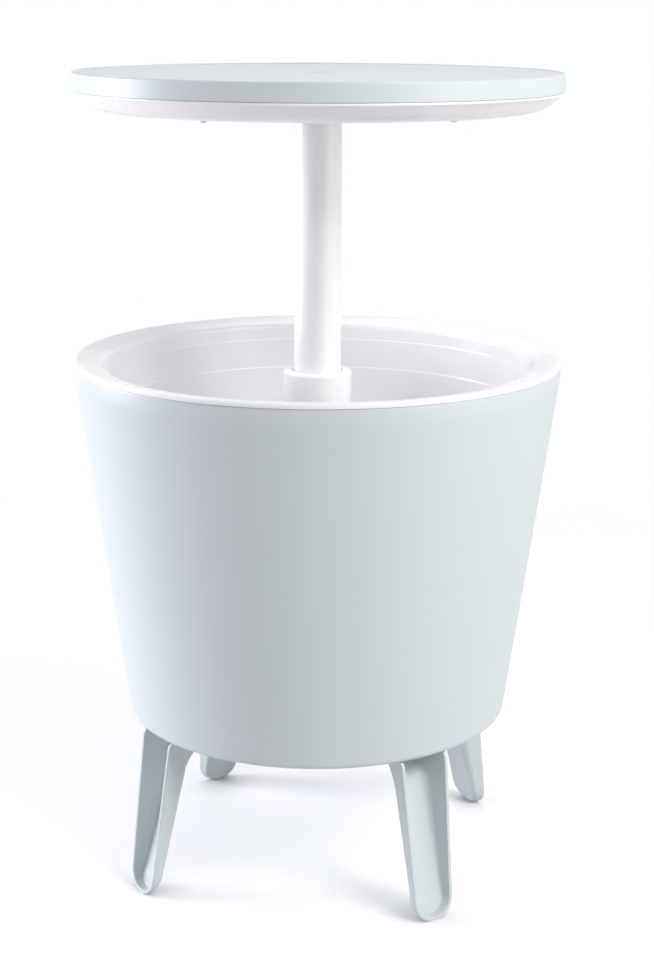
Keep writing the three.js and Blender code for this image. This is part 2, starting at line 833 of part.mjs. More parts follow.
function headGeometry() {
  const hubTop = recessFloor - topWall - seatGap;
  const spigotRadius = poleBoreRadius - runningGap;
  const spigotBottom = headSeat - headSpigotLength;
  const profile = [
    [rodHoleRadius, headSeat - headSpigotRoof],
    [spigotRadius - headSpigotWall, headSeat - headSpigotRoof],
    [spigotRadius - headSpigotWall, spigotBottom],
    [spigotRadius, spigotBottom],
    [spigotRadius, headSeat],
    [headFlangeRadius, headSeat],
    [headFlangeRadius, headSeat + headFlangeThickness],
    [headHubRadius, headSeat + headFlangeThickness],
    [headHubRadius, hubTop],
    [rodHoleRadius, hubTop],
  ];
  const bosses = atPlaces(headPlaces, () => rod(headBossRadius, headSeat + headFlangeThickness / 2,
    headSeat + headFlangeThickness + headBossHeight, screwFacets));
  const holes = atPlaces(headPlaces, () => rod(screwHoleRadius, headSeat - cutMargin,
    panBottom + screwReach + looseGap, screwFacets));
  return cut(join(revolve(profile, poleFacets), ...bosses), ...holes);
}

piece(lid, 'pole_head', headGeometry(), moulded);
screws(lid, 'head_screw', headPlaces, panBottom, screwReach, screwHeadRadius, screwHeadHeight);

// Pole: a tube with two key grooves that stop under the pan

function poleGeometry() {
  const pipe = tube(poleRadius, poleBoreRadius, poleBottom, poleTop, poleFacets);
  const grooveWidth = keyWidth + runningGap * 2;
  const grooves = [-1, 1].map((side) => block(grooveDepth * 2, grooveWidth,
    poleBottom - cutMargin, panBottom - grooveTopGap).translate(side * poleRadius, 0, 0));
  return cut(pipe, ...grooves);
}

const pole = piece(lid, 'pole', poleGeometry(), moulded);
pole.rotation.z = radians(keyTurn);

// Pole foot: the cup on the lower end that runs in the sleeve and meets the collar

function footGeometry() {
  const cupRadius = poleRadius + seatGap;
  const spigotRadius = poleBoreRadius - runningGap;
  const cupFloor = poleBottom - seatGap;
  return revolve([
    [rodHoleRadius, footBottom],
    [footRadius - footEdge, footBottom],
    [footRadius, footBottom + footEdge],
    [footRadius, sleeveTop],
    [cupRadius, sleeveTop],
    [cupRadius, cupFloor],
    [spigotRadius, cupFloor],
    [spigotRadius, cupFloor + footSpigotHeight],
    [rodHoleRadius, cupFloor + footSpigotHeight],
  ], poleFacets);
}

piece(lid, 'pole_foot', footGeometry(), moulded);

// Tie rod that clamps top, head, pole and foot

const washerSeat = recessFloor + seatGap;
const rodSeat = washerSeat + washerThickness + seatGap;
const nutTop = footBottom - seatGap;

piece(lid, 'tie_rod', join(
  hexagon(rodHeadRadius, rodSeat, rodSeat + rodHeadHeight),
  rod(rodRadius, nutTop - rodNutHeight - rodTail, rodSeat + rodHeadHeight / 2, screwFacets),
), steel, 1);
piece(lid, 'tie_rod_washer', tube(washerRadius, rodHoleRadius, washerSeat,
  washerSeat + washerThickness, fittingFacets), steel, 1);
piece(lid, 'tie_rod_nut', cut(
  hexagon(rodNutRadius, nutTop - rodNutHeight, nutTop),
  rod(rodRadius + seatGap, nutTop - rodNutHeight - cutMargin, nutTop + cutMargin, screwFacets),
), steel, 1);

function capGeometry() {
  const radius = capRecessRadius - runningGap;
  const top = topSurface - capSunk;
  const under = top - capThickness;
  return revolve([
    [0, under],
    [radius - capSkirtWall, under],
    [radius - capSkirtWall, under - capSkirt],
    [radius, under - capSkirt],
    [radius, top],
    [0, top],
  ], fittingFacets);
}

piece(lid, 'centre_cap', capGeometry(), paleGrey);

export default table;
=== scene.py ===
"""Ice bucket coffee table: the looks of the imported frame, as an add-on that runs as a script.

A round top on a lifting pole over a deep double-walled bucket with four splayed channel legs.
Metres, +Z up, floor at zero, top raised.
"""

import math

import bmesh
import bpy
from bpy.props import FloatProperty, FloatVectorProperty, IntProperty, PointerProperty
from mathutils import Matrix, Vector


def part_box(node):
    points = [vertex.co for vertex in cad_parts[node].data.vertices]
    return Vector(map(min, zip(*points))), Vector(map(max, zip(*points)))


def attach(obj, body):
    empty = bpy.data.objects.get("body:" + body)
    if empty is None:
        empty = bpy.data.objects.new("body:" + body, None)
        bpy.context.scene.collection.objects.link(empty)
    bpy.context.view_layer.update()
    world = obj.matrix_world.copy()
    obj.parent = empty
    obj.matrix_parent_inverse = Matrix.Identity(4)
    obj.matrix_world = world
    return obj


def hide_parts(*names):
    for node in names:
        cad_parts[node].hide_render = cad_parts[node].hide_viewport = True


bl_info = {
    "name": "Ice Bucket Coffee Table",
    "version": (1, 0, 0),
    "blender": (4, 5, 0),
    "location": "3D View > Sidebar > Table",
    "description": "Builds the pieces, finishes and stage of a lift-top ice bucket table",
    "category": "Add Mesh",
}

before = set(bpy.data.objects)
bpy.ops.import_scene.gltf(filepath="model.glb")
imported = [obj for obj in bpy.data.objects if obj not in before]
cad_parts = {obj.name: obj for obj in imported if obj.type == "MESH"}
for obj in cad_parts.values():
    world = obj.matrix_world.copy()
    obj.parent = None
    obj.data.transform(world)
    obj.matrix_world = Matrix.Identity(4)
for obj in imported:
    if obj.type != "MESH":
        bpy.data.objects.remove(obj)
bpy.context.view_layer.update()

MM = 0.001
LEG_NAMES = ("front_right", "back_right", "back_left", "front_left")
LEG_TURNS = [math.radians(45 + 90 * i) for i in range(4)]
TOP_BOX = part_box("table_top")
SHELL_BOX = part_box("outer_shell")
LINER_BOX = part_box("inner_liner")

# Gap between pieces that sit on each other, and gap round a piece that fits in another
SEAT_GAP, FIT_GAP = 0.3 * MM, 0.4 * MM
# Edge roundings, from nearly sharp to full
KNIFE, CRISP, FINE, SMALL, LIGHT, MILD, SOFT, FULL = (
    share * MM for share in (0.2, 0.3, 0.4, 0.5, 0.6, 0.7, 0.8, 0.9))
# Radii of the holes for screws and for the tie rod
SCREW_BORE, ROD_BORE = 2 * MM, 4.4 * MM
# Radii of the circles that the screws of the sleeve and of the pole's head stand on
SLEEVE_CIRCLE, HEAD_CIRCLE = 43 * MM, 36 * MM
# How far a cutter reaches past the face that it cuts
PAST = 0.01
# A radius below this lies on the axis, and points closer than the other are one point
AXIS_RADIUS, MERGE_DISTANCE = 1e-9, 1e-7
# The longest share of a side that one of its roundings takes up
MOST_OF_HALF = 0.48


def length(label, text, default):
    return FloatProperty(name=label, description=text, default=default, min=0.0,
                         precision=5, unit="LENGTH", subtype="DISTANCE")


def finish_colour(label, text, default):
    return FloatVectorProperty(name=label, description=text, default=default, size=3,
                               min=0.0, max=1.0, subtype="COLOR")


class TABLE_PG_bucket(bpy.types.PropertyGroup):
    """Sizes of the outer shell and of the liner"""

    shell_top: length("Shell top", "Height of the shell's upper edge", SHELL_BOX[1].z)
    shell_top_radius: length("Shell top radius", "Radius of the upper edge", 0.2514)
    shell_top_band: length("Shell top band", "Height of the upright band under the rim", 0.014)
    shell_bottom: length("Shell bottom", "Height of the underside", SHELL_BOX[0].z)
    shell_foot_radius: length("Shell foot radius", "Radius where the wall meets its corner", 0.2025)
    shell_corner: length("Shell corner", "Rounding between wall and underside", 0.0075)
    shell_wall: length("Shell wall", "Wall of the shell", 0.0035)
    foot_band_inner: length("Foot band", "Inner radius of the band round the underside", 0.146)
    foot_step: length("Foot step", "Depth of the recess in the underside", 0.006)
    rim_top: length("Rim top", "Height of the rim's crown", LINER_BOX[1].z)
    rim_radius: length("Rim radius", "Outer radius of the rim", 0.2522)
    rim_width: length("Rim width", "Width of the sloped rim", 0.030)
    rim_drop: length("Rim drop", "Fall of the rim towards the well", 0.010)
    liner_wall: length("Liner wall", "Wall of the liner", 0.003)
    insulation: length("Insulation gap", "Gap between liner and shell at the liner's foot", 0.0126)
    ledge_step: length("Ledge step", "Width of the two fill ledges", 0.0006)
    floor_top: length("Floor", "Height of the well's floor", 0.320)
    floor_corner: length("Floor corner", "Rounding between wall and floor", 0.014)
    tower_top: length("Tower top", "Height of the centre tower", 0.4972)
    tower_top_radius: length("Tower top radius", "Radius of the tower's end", 0.0356)
    tower_foot_radius: length("Tower foot radius", "Radius of the tower at the floor", 0.0385)
    drain_offset: length("Drain offset", "Distance of the drain from the axis", 0.120)
    sump_radius: length("Sump radius", "Radius of the dip round the drain", 0.0225)
    boss_radius: length("Drain boss radius", "Radius of the boss under the sump", 0.027)
    spout_radius: length("Spout radius", "Outer radius of the drain spout", 0.012)
    spout_bore: length("Spout bore", "Bore of the drain spout", 0.0095)
    spout_flange: length("Spout flange", "Radius of the spout's flange", 0.0195)
    nut_radius: length("Nut radius", "Corner radius of the drain nuts", 0.018)
    knob_radius: length("Knob radius", "Radius of the plug's knob", 0.0155)


class TABLE_PG_legs(bpy.types.PropertyGroup):
    """Sizes of one leg"""

    foot_radius: length("Foot radius", "Distance of the open side at the floor from the axis",
                        0.22108)
    top_width: length("Top width", "Width of the leg under the bucket", 0.0576)
    end_radius: length("End radius", "Radius of the rounded lower end", 0.0238)
    wall: length("Side wall", "Thickness of the side walls at the lip", 0.004)
    back_wall: length("Back wall", "Thickness of the back of the channel", 0.0035)
    depth_floor: length("Depth at floor", "Depth of the channel at the floor", 0.0114)
    depth_top: length("Depth at top", "Depth of the channel under the bucket", 0.0363)
    corner_share: FloatProperty(name="Corner share", description="Back rounding per unit of depth",
                                default=0.44, min=0.0, max=0.6)
    draft: FloatProperty(name="Draft", description="Lean of the side walls", default=0.21,
                         min=0.0, max=0.5)
    flare: length("Flare", "Extra depth where the back runs out under the bucket", 0.0155)
    flare_height: length("Flare height", "Height of the flare", 0.035)
    top_ease: length("Top ease", "Rounding of the lip under the bucket", 0.005)
    top_ease_height: length("Top ease height", "Height of that rounding", 0.006)
    plate: length("Plate", "Thickness of the screwed plate", 0.004)
    plate_inset: length("Plate inset", "Distance of the plate behind the lip", 0.014)
    screw_circle: length("Screw circle", "Distance of the leg screws from the axis", 0.1775)
    screw_spread: length("Screw spread", "Half the distance of the two screws", 0.013)
    lip_edge: length("Lip edge", "Rounding along the lip", 0.0011)
    splay: FloatProperty(name="Splay", description="Lean of the leg per unit of height",
                         default=0.1319, min=0.0, max=1.0)


class TABLE_PG_lift(bpy.types.PropertyGroup):
    """Sizes of the pole, its collar and its guide"""

    pole_radius: length("Pole radius", "Outer radius of the pole", 0.0245)
    pole_wall: length("Pole wall", "Wall of the pole", 0.0032)
    groove_width: length("Groove width", "Width of the key grooves", 0.0048)
    groove_depth: length("Groove depth", "Depth of the key grooves", 0.0016)
    collar_radius: length("Collar radius", "Outer radius of the twist collar", 0.03575)
    collar_edge: length("Collar edge", "Rounding of the collar's shoulder", 0.003)
    sleeve_radius: length("Sleeve radius", "Outer radius of the guide sleeve", 0.0315)
    sleeve_bore: length("Sleeve bore", "Bore of the guide sleeve", 0.0294)
    key_turn: FloatProperty(name="Key turn", description="Turn of the keys about the pole",
                            default=math.radians(11.3), subtype="ANGLE", unit="ROTATION")


class TABLE_PG_top(bpy.types.PropertyGroup):
    """Sizes of the table top and of the pan under it"""

    radius: length("Top radius", "Radius of the table top", 0.2475)
    height: length("Top height", "Height of the raised top", TOP_BOX[1].z)
    band: length("Band height", "Height of the top's outer band", 0.0185)
    edge: length("Edge rounding", "Rounding of the upper edge", 0.002)
    rim_rise: length("Rim rise", "Height of the raised rim over the surface", 0.0012)
    wall: length("Top wall", "Wall of the top", 0.0033)
    pan_depth: length("Pan depth", "Depth of the pan below the band", 0.020)
    pan_wall: length("Pan wall", "Wall of the pan", 0.0025)
    screw_circle: length("Pan screw circle", "Radius of the circle of pan screws", 0.169)
    screw_turn: FloatProperty(name="Pan screw turn", description="Turn of the first pan screw",
                              default=math.radians(-28.3), subtype="ANGLE", unit="ROTATION")


class TABLE_PG_finish(bpy.types.PropertyGroup):
    """Colours and grain"""

    shell: finish_colour("Pale grey plastic", "Pale blue-grey moulded plastic",
                         (0.600, 0.656, 0.675))
    white: finish_colour("White plastic", "White moulded plastic", (0.90, 0.91, 0.918))
    steel: finish_colour("Stainless steel", "Screws and tie rod", (0.62, 0.62, 0.63))
    rubber: finish_colour("Seal rubber", "Black seal", (0.02, 0.02, 0.021))
    floor: finish_colour("Floor", "Plain pale floor", (0.68, 0.68, 0.69))
    segments: IntProperty(name="Segments", description="Facets round the large turned pieces",
                          default=256, min=32, max=512)


# Mesh helpers


def ease_corners(points, steps=6, hold=0.0008):
    """Rounds the corners of an outline of (radius, height, rounding) and keeps a
    support point beside each rounding, so that long faces stay evenly lit."""
    count = len(points)
    closed = points[0][0] > 0
    eased = []
    for i, (r, z, rounding) in enumerate(points):
        here = Vector((r, z))
        if not rounding or not (closed or 0 < i < count - 1):
            eased.append((r, z))
            continue
        before, after = Vector(points[i - 1][:2]), Vector(points[(i + 1) % count][:2])
        a, b = before - here, after - here
        turn = a.angle(b)
        reach = min(rounding / math.tan(turn / 2), a.length * MOST_OF_HALF,
                    b.length * MOST_OF_HALF)
        radius = reach * math.tan(turn / 2)
        a.normalize()
        b.normalize()
        centre = here + (a + b).normalized() * (radius / math.sin(turn / 2))
        first, final = here + a * reach - centre, here + b * reach - centre
        swing = first.angle_signed(final)
        if reach + hold < (before - here).length * 0.5:
            eased.append(tuple(here + a * (reach + hold)))
        for k in range(steps + 1):
            spot = first.copy()
            spot.rotate(Matrix.Rotation(-swing * k / steps, 2))
            eased.append(tuple(centre + spot))
        if reach + hold < (after - here).length * 0.5:
            eased.append(tuple(here + b * (reach + hold)))
    return eased


def smooth_course(points, steps=5):
    """A smooth line through a few points of (radius, height)."""
    course = []
    ends = [points[0]] + list(points) + [points[-1]]
    for i in range(1, len(ends) - 2):
        p0, p1, p2, p3 = (Vector(p) for p in ends[i - 1:i + 3])
        for k in range(steps):
            t = k / steps
            spot = 0.5 * ((2 * p1) + (p2 - p0) * t + (2 * p0 - 5 * p1 + 4 * p2 - p3) * t ** 2
                          + (3 * p1 - 3 * p2 + p3 - p0) * t ** 3)
            course.append(tuple(spot))
    course.append(tuple(points[-1]))
    return course


def offset_course(points, distance):
    """The line beside a course, at one distance to its left."""
    normals = []
    for (r0, z0), (r1, z1) in zip(points, points[1:]):
        size = math.hypot(r1 - r0, z1 - z0) or 1.0
        normals.append(Vector((-(z1 - z0) / size, (r1 - r0) / size)))
    result = []
    for i, (r, z) in enumerate(points):
        total = normals[max(i - 1, 0)] + normals[min(i, len(normals) - 1)]
        reach = 2 * distance / max(total.length_squared, 0.25)
        result.append((r + total.x * reach, z + total.y * reach))
    return result


def rounding_arc(centre, radius, start, end, steps=6):
    """Points of an arc, angles in degrees."""
    return [(centre[0] + radius * math.cos(math.radians(start + (end - start) * k / steps)),
             centre[1] + radius * math.sin(math.radians(start + (end - start) * k / steps)))
            for k in range(steps + 1)]


def hold_long_runs(points, hold=0.0015, longest=0.03):
    """Adds points along the long straight runs of an outline."""
    result = []
    count = len(points)
    closed = points[0][0] > AXIS_RADIUS
    for i in range(count):
        result.append(points[i])
        if i == count - 1 and not closed:
            break
        a, b = Vector(points[i]), Vector(points[(i + 1) % count])
        run = (b - a).length
        if run > hold * 4:
            inner = max(1, int(run / longest))
            shares = [hold / run, *(k / (inner + 1) for k in range(1, inner + 1)), 1 - hold / run]
            if a.x > AXIS_RADIUS or b.x > AXIS_RADIUS:
                result.extend(tuple(a.lerp(b, share)) for share in shares)
    return result


def turned_data(outline, segments, shape=None):
    """Vertices and faces of a body turned from an outline of (radius, height). Shape changes
    the radius by radius, height and angle."""
    verts, rings, faces = [], [], []
    for r, z in outline:
        if r < AXIS_RADIUS:
            rings.append([len(verts)])
            verts.append((0.0, 0.0, z))
            continue
        rings.append(list(range(len(verts), len(verts) + segments)))
        for k in range(segments):
            angle = 2 * math.pi * k / segments
            reach = shape(r, z, angle) if shape else r
            verts.append((reach * math.cos(angle), reach * math.sin(angle), z))
    pairs = list(zip(rings, rings[1:]))
    if len(rings[0]) > 1:
        pairs.append((rings[-1], rings[0]))
    for low, high in pairs:
        for k in range(segments):
            corners = (low[k % len(low)], low[(k + 1) % segments % len(low)],
                       high[(k + 1) % segments % len(high)], high[k % len(high)])
            face = tuple(dict.fromkeys(corners))
            if len(face) > 2:
                faces.append(face)
    return verts, faces


def outward(mesh):
    """Merges doubles and turns the faces of a closed mesh outwards."""
    work = bmesh.new()
    work.from_mesh(mesh)
    bmesh.ops.remove_doubles(work, verts=work.verts, dist=MERGE_DISTANCE)
    bmesh.ops.dissolve_degenerate(work, edges=work.edges, dist=MERGE_DISTANCE)
    bmesh.ops.recalc_face_normals(work, faces=work.faces)
    if work.calc_volume(signed=True) < 0:
        bmesh.ops.reverse_faces(work, faces=work.faces)
    work.to_mesh(mesh)
    work.free()


def soften(mesh, angle=32.0):
    """Smooth faces with crisp edges over an angle."""
    mesh.shade_smooth()
    mesh.set_sharp_from_angle(angle=math.radians(angle))
    mesh.update()


def new_object(name, data):
    """An object of the scene."""
    made = bpy.data.objects.new(name, data)
    bpy.context.scene.collection.objects.link(made)
    return made


def new_mesh(name, verts, faces):
    mesh = bpy.data.meshes.new(name)
    mesh.from_pydata(verts, [], faces)
    mesh.update()
    return mesh


def new_piece(name, verts, faces):
    """A closed body."""
    mesh = new_mesh(name, verts, faces)
    outward(mesh)
    return new_object(name, mesh)


def turned(name, outline, segments, shape=None, shift=(0, 0, 0)):
    """A body turned from an outline of (radius, height)."""
    piece = new_piece(name, *turned_data(hold_long_runs(outline), segments, shape))
    piece.data.transform(Matrix.Translation(shift))
    return piece


def eased(name, points, segments, steps=4, shape=None, shift=(0, 0, 0)):
    """A body turned from an outline of (radius, height, rounding)."""
    return turned(name, ease_corners(points, steps), segments, shape, shift)


def bar(name, radius, low, high, segments=48, shift=(0, 0, 0)):
    """A plain round bar."""
    return turned(name, [(0, low), (radius, low), (radius, high), (0, high)], segments, None,
                  shift)


def block(name, size, centre, turn=0.0):
    """A box by its size and centre, turned about the table's axis."""
    half = [s / 2 for s in size]
    verts = [(x * half[0], y * half[1], z * half[2])
             for x in (-1, 1) for y in (-1, 1) for z in (-1, 1)]
    faces = [(0, 1, 3, 2), (4, 6, 7, 5), (0, 4, 5, 1), (2, 3, 7, 6), (0, 2, 6, 4), (1, 5, 7, 3)]
    piece = new_piece(name, verts, faces)
    piece.data.transform(Matrix.Rotation(turn, 4, "Z") @ Matrix.Translation(centre))
    return piece


def apply_modifiers(piece):
    """Takes the mesh that a piece's modifiers make as its own."""
    depsgraph = bpy.context.evaluated_depsgraph_get()
    result = bpy.data.meshes.new_from_object(piece.evaluated_get(depsgraph))
    piece.modifiers.clear()
    old, piece.data = piece.data, result
    bpy.data.meshes.remove(old)
    result.name = piece.name


def carve(piece, tools, operation="DIFFERENCE"):
    """Cuts tools out of a piece, or joins them to it, and removes them."""
    for tool in tools:
        step = piece.modifiers.new("carve", "BOOLEAN")
        step.operation = operation
        step.solver = "EXACT"
        step.object = tool
        apply_modifiers(piece)
        bpy.data.objects.remove(tool)


def add_beside(piece, others):
    """Adds the meshes of other closed bodies to a piece and removes them."""
    work = bmesh.new()
    work.from_mesh(piece.data)
    for other in others:
        work.from_mesh(other.data)
        bpy.data.objects.remove(other)
    work.to_mesh(piece.data)
    work.free()


def tube(name, inner, outer, low, high, segments=32, shift=(0, 0, 0)):
    """A plain ring, or a bored post."""
    return turned(name, [(inner, low), (outer, low), (outer, high), (inner, high)],
                  segments, None, shift)


def screw_bores(places, low, high, segments=24):
    """Cutters for the holes of screws."""
    return [bar("hole", SCREW_BORE, low, high, segments, spot) for spot in places]


def shifted(point, offsets):
    """Points of an outline at offsets in millimetres from one of its points."""
    return [(point[0] + across * MM, point[1] + up * MM) for across, up in offsets]


def heights(node):
    """Lowest and highest level of one CAD node."""
    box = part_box(node)
    return box[0].z, box[1].z


def round_places(count, circle, turn):
    """Places on a circle, the first one turned from the front towards the right."""
    return [Vector((circle * math.sin(turn + 2 * math.pi * i / count),
                    -circle * math.cos(turn + 2 * math.pi * i / count), 0))
            for i in range(count)]


def corner_places(circle):
    """Four places on a circle, one over each leg."""
    return round_places(4, circle, LEG_TURNS[0])


def dress(piece, body, slot, *nodes):
    """Gives a finished piece smooth shading and the material of its slot, hangs it under its body
    and hides the nodes it stands for.
    """
    if not piece.data.polygons:
        raise RuntimeError(f"{piece.name} has no faces")
    soften(piece.data)
    piece.data.materials.clear()
    piece.data.materials.append(finish(slot))
    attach(piece, body)
    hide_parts(*nodes)


# Finishes


class Wiring:
    """Adds nodes to one node tree and connects them."""

    def __init__(self, tree):
        self.tree = tree

    def feed(self, socket, value):
        """Links a socket to another one, or sets it to a plain value."""
        if isinstance(value, bpy.types.NodeSocket):
            self.tree.links.new(value, socket)
        else:
            socket.default_value = value

    def add(self, kind, inputs, **settings):
        """The outputs of a new node, with its inputs by name or number."""
        node = self.tree.nodes.new(kind)
        for name, value in settings.items():
            setattr(node, name, value)
        for key, value in inputs.items():
            self.feed(node.inputs[key], value)
        return node.outputs

    def maths(self, operation, a, b):
        return self.add("ShaderNodeMath", {0: a, 1: b}, operation=operation)[0]

    def times(self, a, b):
        return self.maths("MULTIPLY", a, b)

    def plus(self, a, b):
        return self.maths("ADD", a, b)

    def about_half(self, value, amount):
        """A noise value, taken from its middle, times an amount."""
        return self.times(self.maths("SUBTRACT", value, 0.5), amount)

    def map_range(self, value, *limits):
        """A value brought from the first two limits to the last two."""
        labels = ("From Min", "From Max", "To Min", "To Max")
        return self.add("ShaderNodeMapRange", {"Value": value, **dict(zip(labels, limits))})[0]

    def noise(self, vector, scale, detail=3.0, rough=0.5):
        return self.add("ShaderNodeTexNoise", {"Vector": vector, "Scale": scale, "Detail": detail,
                                               "Roughness": rough})["Fac"]

    def shaded(self, colour, factor):
        """Colour times a factor that changes over the surface."""
        return self.add("ShaderNodeVectorMath", {0: colour, "Scale": factor},
                        operation="SCALE")[0]

    def places(self, stretch):
        """The object's own coordinates, plain and stretched."""
        plain = self.add("ShaderNodeTexCoord", {})["Object"]
        return plain, self.add("ShaderNodeMapping", {"Vector": plain, "Scale": stretch})[0]

    def seen_rays(self):
        """One for rays that show a surface itself, none for rays that only carry its light."""
        rays = self.add("ShaderNodeLightPath", {})
        return self.maths("MAXIMUM", rays["Is Camera Ray"], self.maths(
            "MAXIMUM", rays["Is Glossy Ray"], rays["Is Transmission Ray"]))


def skin_group(name, inputs, fill):
    """A node group, kept under its name. Fill makes its colour, roughness and height."""
    if name in bpy.data.node_groups:
        return bpy.data.node_groups[name]
    group = bpy.data.node_groups.new(name, "ShaderNodeTree")
    outputs = ("Colour", "Roughness", "Height")

    def new_socket(label, side):
        kind = "Color" if label == "Colour" else "Float"
        return group.interface.new_socket(name=label, in_out=side,
                                          socket_type="NodeSocket" + kind)

    for label, default in inputs.items():
        new_socket(label, "INPUT").default_value = default
    for label in outputs:
        new_socket(label, "OUTPUT")
    wiring = Wiring(group)
    given = wiring.add("NodeGroupInput", {})
    sink = group.nodes.new("NodeGroupOutput")
    for label, value in zip(outputs, fill(wiring, given)):
        wiring.feed(sink.inputs[label], value)
    return group


def moulded_skin(wiring, given):
    """Satin skin of a large moulding: fine grain, faint flow bands and a very light sink."""
    cloud_scale, band_scale, cloud_share, tone_gain, wave_gain = 9.0, 26.0, 0.6, 4.0, 20.0
    place, drawn = wiring.places((1.0, 1.0, 0.12))
    clouds = wiring.noise(place, cloud_scale, 2.0)
    bands = wiring.noise(drawn, band_scale)
    grain = wiring.noise(place, given["Grain Scale"], 2.0, 0.6)
    tone = wiring.plus(wiring.times(clouds, cloud_share), wiring.times(bands, 1 - cloud_share))
    factor = wiring.plus(wiring.times(wiring.about_half(tone, given["Mottle"]), tone_gain), 1.0)
    patches = wiring.plus(wiring.about_half(clouds, given["Roughness Spread"]),
                          wiring.about_half(grain, given["Roughness Spread"]))
    waves = wiring.times(wiring.times(clouds, given["Sink"]), wave_gain)
    return (wiring.shaded(given["Colour"], factor), wiring.plus(given["Roughness"], patches),
            wiring.plus(grain, waves))


def turned_steel(wiring, given):
    """Turned stainless steel: fine rings and small tone changes."""
    roughness_spread, ring_range, tone_range = 0.25, (0.25, 0.75), (0.85, 1.1)
    rings = wiring.noise(wiring.places((0.15, 0.15, 1.0))[1], given["Scale"])
    tone = wiring.map_range(rings, *ring_range, *tone_range)
    return (wiring.shaded(given["Colour"], tone),
            wiring.plus(given["Roughness"], wiring.about_half(rings, roughness_spread)), rings)


def finish_material(name, group, colour, values, bump, **shader_values):
    """A material round one of the groups, kept under its name. Bump is strength and distance."""
    if name in bpy.data.materials:
        return bpy.data.materials[name]
    material = bpy.data.materials.new(name)
    material.use_nodes = True
    material.diffuse_color = (*colour, 1.0)
    wiring = Wiring(material.node_tree)
    effect = wiring.add("ShaderNodeGroup", {"Colour": (*colour, 1.0), **values}, node_tree=group)
    relief = wiring.add("ShaderNodeBump", {"Strength": bump[0], "Distance": bump[1],
                                           "Height": effect["Height"]})
    shader = material.node_tree.nodes["Principled BSDF"]
    for label, value in {"Base_Color": effect["Colour"], "Roughness": effect["Roughness"],
                         "Normal": relief["Normal"], **shader_values}.items():
        wiring.feed(shader.inputs[label.replace("_", " ")], value)
    return material


def moulded(name, colour, look, bump, **shader_values):
    """A moulded finish. Its look is mottle, roughness, roughness spread, grain scale and sink."""
    usual = {"Mottle": 0.02, "Roughness": 0.4, "Roughness Spread": 0.05, "Grain Scale": 1100.0,
             "Sink": 0.4}
    group = skin_group("Moulded skin", {"Colour": (0.8, 0.8, 0.8, 1.0), **usual}, moulded_skin)
    return finish_material(name, group, colour, dict(zip(usual, look)), bump, **shader_values)


def finish(slot):
    """The material of one slot."""
    colours = bpy.context.scene.table_finish
    if slot == "pale_grey_plastic":
        return moulded("Pale grey plastic", colours.shell, (0.012, 0.40, 0.10, 1300.0, 0.25),
                       (0.06, 0.0004), IOR=1.49)
    if slot == "white_plastic":
        return moulded("White plastic", colours.white, (0.010, 0.27, 0.08, 1500.0, 0.2),
                       (0.035, 0.0004), IOR=1.5, Subsurface_Weight=0.12,
                       Subsurface_Radius=(1.0, 0.92, 0.88), Subsurface_Scale=0.006)
    if slot == "seal_rubber":
        return moulded("Seal rubber", colours.rubber, (0.05, 0.7, 0.1, 2500.0, 0.0),
                       (0.2, 0.0002))
    steel = skin_group("Turned steel", {"Colour": (0.6, 0.6, 0.6, 1.0), "Roughness": 0.3,
                                        "Scale": 700.0}, turned_steel)
    return finish_material("Stainless steel", steel, colours.steel,
                           {"Roughness": 0.3, "Scale": 900.0}, (0.1, 0.0001), Metallic=1.0)


# Bucket


LEDGE_HEIGHTS = (0.529, 0.497)
LEDGE_OVER = ((0, 0.9), (-0.05, 0.2), (-0.35, -0.25))
LEDGE_UNDER = ((0.3, 0.35), (0.02, -0.1), (0, -0.9))
# The rim from its outer edge to the wall, as shares of its width and of its drop
RIM_COURSE = ((0.0, 0.26), (0.012, 0.15), (0.045, 0.055), (0.1, 0.008), (0.19, 0.0), (0.33, 0.07),
              (0.5, 0.19), (0.7, 0.345), (0.87, 0.5), (0.935, 0.6), (0.975, 0.75), (1.0, 1.0))
# Lower and upper end of the posts that the sleeve's screws hold in
POST_LOW, POST_HIGH = 0.3043, 0.3175


def shell_lean(b):
    """Outward lean of the shell's wall per unit of height, up to its upright band."""
    run = b.shell_top - b.shell_top_band - b.shell_bottom - b.shell_corner
    return (b.shell_top_radius - b.shell_foot_radius) / run


def leg_screw_places(leg):
    """The two screw places of each leg, on the floor plane."""
    return [Matrix.Rotation(turn, 4, "Z") @ Vector((x, -leg.screw_circle, 0))
            for turn in LEG_TURNS for x in (-leg.screw_spread, leg.screw_spread)]


